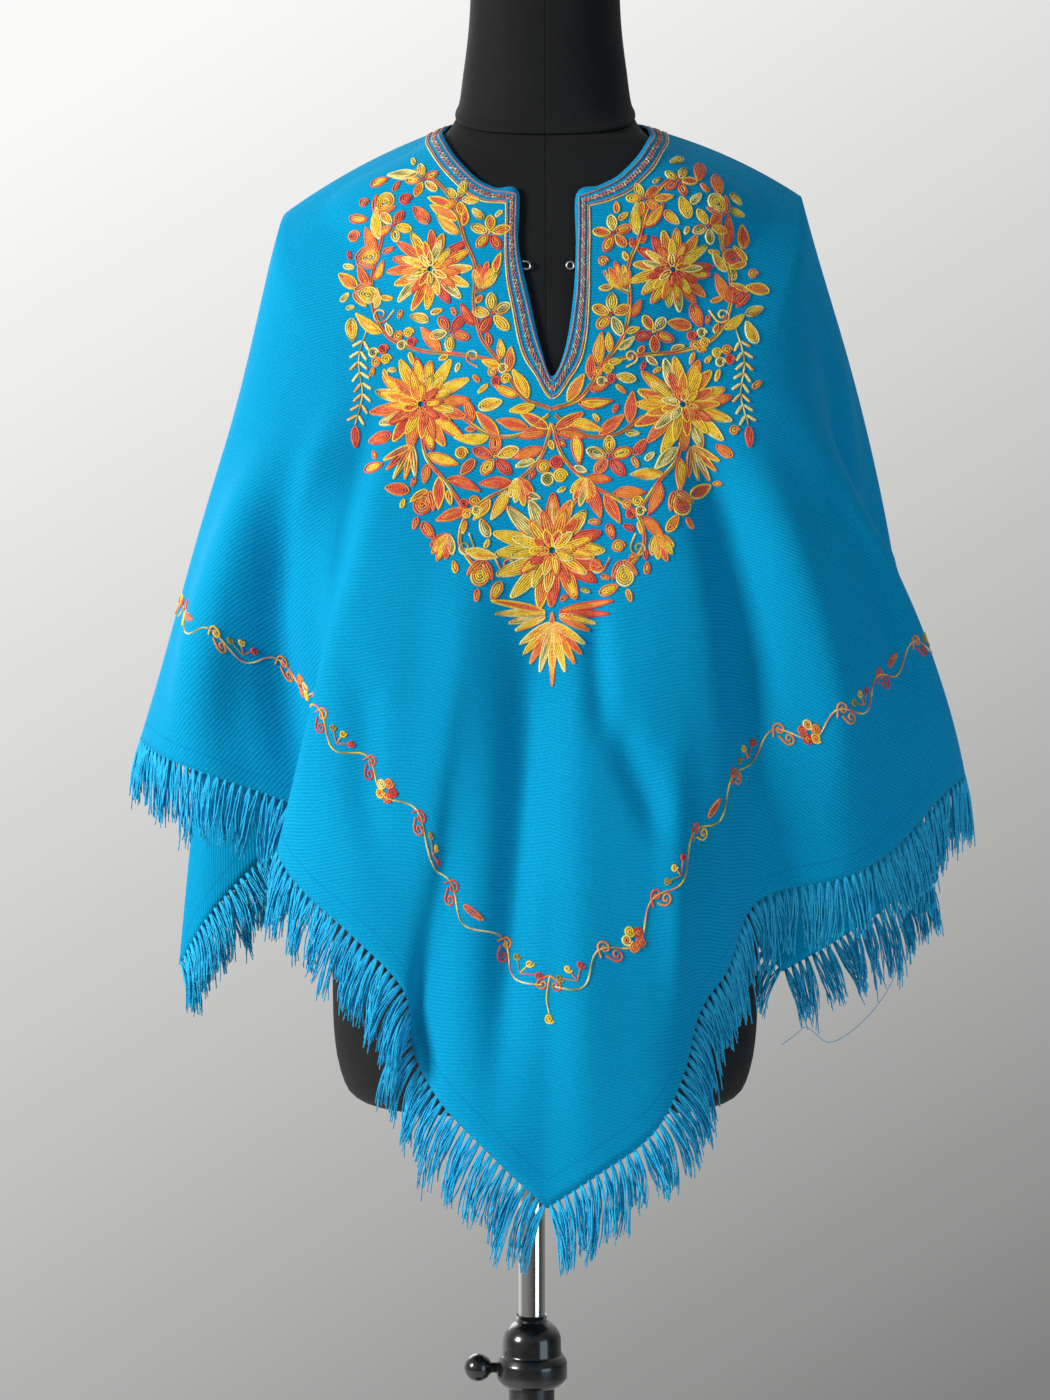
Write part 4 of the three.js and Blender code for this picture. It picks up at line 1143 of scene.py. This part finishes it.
def make_yoke(cloth):
    work = Threadwork(lambda x, z: cloth.from_front(x + DESIGN_CENTRE, z), 11)
    work.bloom((0, 1210), 41, outer=16, inner=10)
    work.petal((0, 1168), -math.pi / 2, 54, 6, "orange", "coral")
    for number in range(9):
        spread = math.radians(-90 + 56 * (number - 4) / 4)
        rim, fill = work.pair()
        work.petal((0, 1160), spread, 40 - 3.0 * abs(number - 4), 7.2, rim, fill)
    for way in (-1, 1):
        for number in range(4):
            angle = math.pi / 2 - way * math.radians(76 + 12 * number)
            rim, fill = work.pair()
            work.petal((way * 4, 1167 - number), angle, 40 - 6 * (number > 1) - 3 * number, 6.4, rim,
                       fill, bend=-0.05 * way)
    for mirror in (1, -1):
        def heading(angle):
            return angle if mirror > 0 else math.pi - angle
        for x, z, radius in YOKE_BLOOMS:
            work.bloom((x * mirror, z), radius)
        for number in range(5):
            angle = heading(math.radians(-62 + 17 * (number - 2)))
            rim, fill = work.pair()
            work.petal((98 * mirror, 1285), angle, 29 - 2.5 * abs(number - 2), 6, rim, fill)
        for x, z, radius, turn in YOKE_FLOWERS:
            work.flower((x * mirror, z), radius, heading(turn))
        for x, z, tail in YOKE_BERRIES:
            work.berries((x * mirror, z), tail=heading(tail))
        for x, z, angle in YOKE_DROPS:
            work.drop((x * mirror, z), heading(angle), 1.2)
        for x, z, angle in YOKE_TULIPS:
            work.tulip((x * mirror, z), heading(angle), 1.3)
        for x, z, angle, size, way in YOKE_SCROLLS:
            work.scroll((x * mirror, z), heading(angle), size, way * mirror,
                        work.pick("coral", "yellow", "olive"), "cream")
    work.berries((0, 1266), 6)
    work.petal((0, 1246), -math.pi / 2, 22, 5, "olive", "cream")
    for way in (1, -1):
        work.petal((way * 2, 1296), math.pi / 2 - way * 1.05, 24, 9, "yellow", "coral")
        work.petal((way * 3, 1294), math.pi / 2 - way * 1.75, 22, 8, "coral", "orange")
    for mirror in (1, -1):
        for points in YOKE_STEMS:
            work.stem(points, work.pick("salmon", "coral"), "olive", mirror)
        sprig = smooth_line(np.array(SPRIG_STEM, float) * (mirror, 1), 1.3)
        work.row(sprig, "cream", "olive", width=1.4)
        for step in range(8, len(sprig) - 3, 6):
            for way in (1, -1):
                ahead = sprig[step + 1] - sprig[step]
                angle = math.atan2(ahead[1], ahead[0]) + way * 0.8
                work.petal(sprig[step], angle, 10, 2.6, "cream", "yellow")
        work.petal(sprig[-1], math.radians(-88), 17, 7, "coral", "red")
    work.fill_gaps()
    return work.make("yoke_embroidery")


# The band round the neck and the slit: offset from the edge, then its two shades
BAND_ROWS = [
    (3.0, "mauve", "salmon"), (12.4, "salmon", "mauve"), (14.0, "cream", "yellow"),
]
BAND_ZIGZAG = (5.6, 9.6, 2.6)      # from offset, to offset, half its pitch


def band_line(offset):
    """The band's right half at an offset from the neck's edge: the slit, then round the neck."""
    d = offset
    slit = [(0, 208 + 1.15 * d), (7 + 0.72 * d, 189 + 0.42 * d), (15 + 0.68 * d, 151 + 0.1 * d),
            (18 + 0.62 * d, 112), (18 + 0.62 * d, 73 + 0.62 * d)]
    neck = [(18 + 0.62 * d, 73 + 0.62 * d), (34 + 0.56 * d, 63 + 0.84 * d),
            (51 + 0.68 * d, 50 + 0.73 * d),
            (67 + 0.9 * d, 27 + 0.43 * d), (74 + d, 0), (60 + 0.8 * d, -40 - 0.6 * d),
            (33 + 0.35 * d, -58 - 0.93 * d), (0, -64 - d)]
    return [smooth_line(slit, 2.0), smooth_line(neck, 2.0)]


def make_band(cloth):
    work = Threadwork(cloth.from_flat, 23)
    for mirror in (1, -1):
        for offset, first, second in BAND_ROWS:
            for line in band_line(offset):
                work.row(line * (mirror, 1), first, second, width=1.3)
        inner, outer, pitch = BAND_ZIGZAG
        for near, far in zip(band_line(inner), band_line(outer)):
            for start, shade in ((0, "cream"), (1, "mauve")):
                count = int(np.linalg.norm(np.diff(near, axis=0), axis=1).sum() / pitch)
                share = np.linspace(0, 1, count + 1)
                zigzag = [between(far if (step + start) % 2 else near, at)
                          for step, at in enumerate(share)]
                work.row(np.array(zigzag) * (mirror, 1), shade, "salmon", width=0.9,
                         lift=0.1 * start)
    return work.make("neck_band")


def between(line, share):
    place = share * (len(line) - 1)
    start = min(int(place), len(line) - 2)
    return line[start] + (line[start + 1] - line[start]) * (place - start)


BORDER_INSET = 105        # from the hem to the border's middle
MOTIF_PITCH = 27
VINE_SWING = 6.5
BORDER_MOTIFS = "TSFSTSbS"


def make_border(cloth):
    work = Threadwork(cloth.from_flat, 37)
    corner = HALF_DIAGONAL - BORDER_INSET * math.sqrt(2)
    corners = [np.array(place, float) * corner for place in ((0, 1), (1, 0), (0, -1), (-1, 0), (0, 1))]
    for side in range(4):
        start, end = corners[side], corners[side + 1]
        length = np.linalg.norm(end - start)
        ahead = (end - start) / length
        out = np.array([-ahead[1], ahead[0]])
        angle = math.atan2(ahead[1], ahead[0])

        def spot(along, across):
            return start + ahead * along + out * across

        count = int(round((length - 24) / MOTIF_PITCH))
        pitch = (length - 24) / count
        at = np.arange(8, length - 8, 4.0)
        swing = VINE_SWING * np.sin(math.pi * (at - 12) / pitch)
        for piece in range(0, len(at) - 1, 15):
            part = slice(piece, piece + 16)
            vine = np.array([spot(a, s) for a, s in zip(at[part], swing[part])])
            work.row(smooth_line(vine, 1.5), work.pick("cream", "yellow"),
                     work.pick("salmon", "olive"), width=1.6)
        for number in range(count):
            along = 12 + pitch * (number + 0.5)
            way = 1 if number % 2 else -1
            kind = BORDER_MOTIFS[number % len(BORDER_MOTIFS)]
            place = spot(along, -way * VINE_SWING * 0.25)
            if kind == "F":
                shades = ["coral", "yellow", "orange", "red", "cream"]
                work.rng.shuffle(shades)
                for spread, shade in enumerate(shades):
                    turn = 2 * math.pi * spread / 5 + 0.3
                    offset = polar(turn) * 5.6
                    work.disc(place + offset, 4.8, shade, work.pick(shade, "orange"))
            elif kind == "S":
                for turn in (1, -1):
                    shade = work.pick("coral", "yellow", "orange", "red")
                    work.scroll(place + ahead * turn * 2, angle + turn * (math.pi / 2 - 0.5), 4.6, -turn,
                                shade, shade)
            elif kind == "T":
                for spread, shade, reach in ((-0.95, "red", 12), (0, "yellow", 9), (0.95, "olive", 12)):
                    heading = angle + way * (math.pi / 2 + spread)
                    end = place + polar(heading) * reach
                    work.row([place, (place + end) / 2, end], shade, "salmon", width=1.3)
                    work.disc(end, 3.6, shade, work.pick(shade, "orange"))
            else:
                work.petal(spot(along - 9, way * 3), angle + 0.15 * way, 19, 6, "salmon", "coral")
        tip = corners[side] / corner
        across = np.array([tip[1], -tip[0]])
        base = tip * (corner - 14)
        for turn, shade in ((1, "coral"), (-1, "red")):
            work.scroll(base, math.atan2(tip[1], tip[0]) + 1.25 * turn, 4.2, -turn, shade, "orange")
        stalk = smooth_line([base, tip * (corner + 2) - across * 2, tip * (corner + 13)], 1.3)
        work.row(stalk, "cream", "yellow", width=1.4)
        work.disc(tip * (corner + 16), 4.3, "yellow", "yellow")
    return work.make("border_vine")


# The fringe

TASSEL_PITCH = 6.2
TASSEL_LENGTH = 45
TASSEL_STRANDS = 10
STRAND_STEPS = 8
STRAND_RADIUS = 0.74
DRIFT = 4.5               # how far the tips wander along the hem
DRIFT_PITCH = 6           # in tassels
CLUMP_PULL = 0.62         # how far the tips in a clump draw together
SLEEVE_SHORTER = ((0, 0.32, 0.42, 1), (0.72, 0.72, 1, 1))    # along the left front side
STRAY_THREAD = [          # a fine thread that hangs from the right side
    (279, 100, 925), (277, 97, 896), (262, 96, 868), (240, 95, 846), (222, 94, 838), (205, 94, 850),
    (196, 95, 843), (186, 95, 836),
]


def tassel_roots(cloth, side):
    """Places along one hem side, with the way off the cloth, its normal and the way along."""
    first = side * COLUMNS_PER_SIDE
    columns = (first + np.arange(COLUMNS_PER_SIDE + 1)) % (4 * COLUMNS_PER_SIDE)
    hem = cloth.grid[-1, columns]
    down = unit(hem - cloth.grid[-4, columns])
    out = cloth.normals[-1, columns]
    reach = lengths_along(hem)
    count = int(reach[-1] / TASSEL_PITCH)
    at = (np.arange(count) + 0.5) / count * reach[-1]
    root, down, out = [
        np.column_stack([np.interp(at, reach, values[:, k]) for k in range(3)])
        for values in (hem, down, out)]
    ahead = unit(np.gradient(root, axis=0))
    away = unit(down - ahead * np.sum(down * ahead, axis=1, keepdims=True))
    return root, away, unit(out), ahead


def clump_pulls(rng, count):
    """How far each tassel's tip leans along the hem, towards the middle of its clump."""
    pulls = np.zeros(count)
    first = 0
    while first < count:
        size = int(rng.integers(1, 5))
        members = np.arange(first, min(first + size, count))
        pulls[members] = (members.mean() - members) * TASSEL_PITCH * CLUMP_PULL
        first += size
    knots = np.arange(0, count + 2 * DRIFT_PITCH, DRIFT_PITCH)
    drift = np.interp(np.arange(count), knots, rng.normal(0, DRIFT, len(knots)))
    return pulls + drift


def make_fringe(cloth, side, name):
    rng = np.random.default_rng(40 + side)
    root, away, out, ahead = tassel_roots(cloth, side)
    count = len(root)
    share = np.linspace(0, 1, STRAND_STEPS)
    pull = clump_pulls(rng, count)
    reach = TASSEL_LENGTH * (1 + rng.normal(0, 0.1, count))
    if side == 3:
        reach *= np.interp(np.arange(count) / count, *SLEEVE_SHORTER)
    down = np.array([0, 0, -1.0])
    s = share[None, :, None]
    wide = 0.75 + 2.5 * np.minimum(share / 0.45, 1) ** 0.8
    strands = []
    radii = []
    for strand in range(TASSEL_STRANDS):
        turn = 2 * math.pi * (strand + rng.uniform(-0.2, 0.2, count)) / TASSEL_STRANDS
        heading = unit(away[:, None] * (1 - 0.8 * s) + down * (0.3 + 0.7 * s)
                       + out[:, None] * rng.normal(0, 0.05, (count, 1, 1)))
        length = reach * (1 + rng.normal(0, 0.07, count))
        stride = heading * (length / (STRAND_STEPS - 1))[:, None, None]
        middle = root[:, None] + np.cumsum(stride, axis=1) - stride[:, :1]
        fray = rng.normal(0, 1.5, (count, 1)) * share ** 2.5
        wave = 0.9 * np.sin(share * 9 + rng.uniform(0, 6, (count, 1))) * share
        along = np.cos(turn)[:, None] * wide + pull[:, None] * share ** 1.3 + fray + wave
        outwards = 0.5 * np.sin(turn)[:, None] * wide
        strands.append(middle + ahead[:, None] * along[..., None] + out[:, None] * outwards[..., None]
                       - away[:, None] * 0.8)
        radii.append(np.broadcast_to(STRAND_RADIUS * (1 - 0.4 * share ** 2), along.shape))
    paths = np.concatenate(strands)
    shape = paths.shape
    paths = off_form(paths.reshape(-1, 3), 2.0).reshape(shape)
    points = tube_points(paths, np.concatenate(radii), STRAND_SIDES).reshape(-1, 3)
    faces = tube_faces(len(paths), STRAND_STEPS, STRAND_SIDES)
    if side == 0:
        stray = smooth_line(STRAY_THREAD, 4)
        start = len(points)
        points = np.vstack([points, tube_points(
            stray[None], STRAY_RADIUS, STRAND_SIDES).reshape(-1, 3)])
        faces += [[start + corner for corner in face]
                  for face in tube_faces(1, len(stray), STRAND_SIDES)]
    piece = new_piece(name, to_world(points), faces)
    return finish_piece(piece, "fringe", "figure", [name.replace("_yarn", "")])


# The dress form and its stand

FORM_SIDES = 96
NECK_THICKER = 1.2


def form_ring(height, grow, angles):
    half, front, back = through_table(FORM_SECTIONS, np.clip(height, FORM_BOTTOM, NECK_TOP)).T
    reach = outline_reach(half, front, back, angles) + grow
    return np.column_stack([reach * np.cos(angles), reach * np.sin(angles), height])


def seam_height(angles, shift):
    """Height of the sloping neck seam at each angle round the form."""
    height = np.full(len(angles), float(SEAM_HEIGHT))
    for _ in range(12):
        ring = form_ring(height, 0, angles)
        height = SEAM_HEIGHT + SEAM_SLOPE * ring[:, 1] + shift
    return height


def ring_faces(rows, sides):
    faces = []
    for row in range(rows - 1):
        for side in range(sides):
            a = row * sides + side
            b = row * sides + (side + 1) % sides
            faces.append([a, b, b + sides, a + sides])
    faces.append([side for side in reversed(range(sides))])
    faces.append([(rows - 1) * sides + side for side in range(sides)])
    return faces


def form_piece(name, rings, look, node):
    piece = new_piece(name, to_world(np.vstack(rings)), ring_faces(len(rings), FORM_SIDES))
    return finish_piece(piece, look, "figure", [node])


def make_form():
    angles = ring_angles(FORM_SIDES)
    rise = np.concatenate([
        [0, 0.001, 0.003, 0.006, 0.01, 0.016, 0.024, 0.035], np.linspace(0.05, 1, 76)])
    top = seam_height(angles, -0.3)
    rings = []
    for share in rise:
        height = FORM_BOTTOM + share * (top - FORM_BOTTOM)
        rings.append(form_ring(height, 0, angles))
    rings.insert(0, rings[0] * (0.94, 0.94, 1))
    rings.append(form_ring(top, -6, angles))
    torso = form_piece("form_torso_cover", rings, "jersey", "form_torso")

    foot = seam_height(angles, 0.3)
    lip = [(0, -3), (0, 0.5), (0.002, 1.5), (0.008, 2.2), (0.02, 2.4), (0.035, 1.9), (0.06, 1.3)]
    levels = lip + [(share, NECK_THICKER) for share in np.linspace(0.1, 1, 24)]
    levels += [(1, -4)]
    rings = []
    for share, grow in levels:
        height = foot + share * (NECK_TOP - foot)
        rings.append(form_ring(height, grow, angles))
    form_piece("form_neck_cover", rings, "jersey", "form_neck")

    profile = [(-6, 0.3), (1.2, 0.3), (1.7, 0.9), (1.8, 2), (1.7, 4.2), (0.9, 5.4), (-0.6, 6.3),
               (-3, 6.8), (-8, 7)]
    rings = []
    for grow, up in profile:
        ring = form_ring(np.full(FORM_SIDES, float(NECK_TOP)), grow, angles)
        ring[:, 2] = NECK_TOP + up
        rings.append(ring)
    form_piece("neck_cap_cover", rings, "plastic", "neck_cap")
    return torso


MAST_RADIUS, MAST_BOTTOM = 10, 380
SOCKET_BOTTOM, SOCKET_TOP, SOCKET_RADIUS, COLLAR_RADIUS = 596, 648, 22, 26.5
COLUMN_RADIUS, COLUMN_FLOOR, BORE_RADIUS = 17, 262, 10.8
BASE_RADIUS, BASE_HEIGHT = 185, 26
KNOB_HEIGHT, KNOB_RADIUS, KNOB_REACH, STEM_RADIUS = 608, 10.5, 40, 4


def make_stand():
    mast_top = FORM_BOTTOM - 0.3
    mast = turned_piece("mast_bar", rounded([
        (0, MAST_BOTTOM), (MAST_RADIUS, MAST_BOTTOM), (MAST_RADIUS, mast_top), (0, mast_top)]))
    finish_piece(mast, "chrome", "mast", ["mast"])

    bottom, top = BASE_HEIGHT + 0.3, SOCKET_BOTTOM - 0.3
    column = turned_piece("column_tube", rounded([
        (0, bottom), (COLUMN_RADIUS + 5, bottom), (COLUMN_RADIUS + 5, bottom + 14),
        (COLUMN_RADIUS, bottom + 20), (COLUMN_RADIUS, top), (BORE_RADIUS, top),
        (BORE_RADIUS, COLUMN_FLOOR), (0, COLUMN_FLOOR)]))
    finish_piece(column, "stand", "stand", ["stand_column"])

    dome = [(SOCKET_RADIUS * math.cos(a), SOCKET_TOP - 20 + 18 * math.sin(a))
            for a in np.linspace(0, math.radians(60), 10)]
    socket = turned_piece("socket_sleeve", rounded([
        (BORE_RADIUS, SOCKET_BOTTOM), (COLLAR_RADIUS - 3, SOCKET_BOTTOM),
        (COLLAR_RADIUS, SOCKET_BOTTOM + 4), (COLLAR_RADIUS, SOCKET_BOTTOM + 17),
        (COLLAR_RADIUS - 2.6, SOCKET_BOTTOM + 21.5), (SOCKET_RADIUS + 0.4, SOCKET_BOTTOM + 23),
        (SOCKET_RADIUS, SOCKET_BOTTOM + 26)], bevel=1.6) + dome[1:] + [
        (BORE_RADIUS + 1, SOCKET_TOP - 0.6), (BORE_RADIUS, SOCKET_TOP - 2),
        (BORE_RADIUS, SOCKET_BOTTOM)])
    finish_piece(socket, "plastic", "stand", ["stand_socket"])

    base = turned_piece("base_disc", rounded([
        (0, 0), (BASE_RADIUS - 2, 0), (BASE_RADIUS, 3), (BASE_RADIUS - 2, 9),
        (BASE_RADIUS - 40, 13), (60, 18), (30, 22), (24, BASE_HEIGHT), (0, BASE_HEIGHT)],
        bevel=4), sides=128)
    finish_piece(base, "stand", "stand", ["stand_base"])

    tip = MAST_RADIUS + 0.6
    ball = [(KNOB_RADIUS * math.sin(a), KNOB_REACH - KNOB_RADIUS * math.cos(a))
            for a in np.linspace(math.pi * 0.14, math.pi * 0.99, 26)]
    knob = turned_piece("knob_ball", [
        (0, tip), (STEM_RADIUS - 0.6, tip), (STEM_RADIUS, tip + 0.8),
        (STEM_RADIUS, ball[0][1] - 0.5)] + ball + [(0, KNOB_REACH + KNOB_RADIUS)], sides=48)
    for vertex in knob.data.vertices:
        x, y, z = vertex.co
        vertex.co = (-z, y, x + KNOB_HEIGHT * MM)
    finish_piece(knob, "plastic", "knob", ["clamp_knob"])


make_camera()
make_studio()
cloth = Cloth()
shell = make_cloth(cloth)
fringes = [make_fringe(cloth, side, name) for side, name in enumerate([
    "fringe_front_right_yarn", "fringe_back_right_yarn", "fringe_back_left_yarn",
    "fringe_front_left_yarn"])]
torso = make_form()
make_stand()

for name in ("neck_hook", "neck_eye"):
    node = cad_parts[name]
    node.data.materials.clear()
    node.data.materials.append(LOOKS["hook"])

band = make_band(cloth)
border = make_border(cloth)
yoke = make_yoke(cloth)
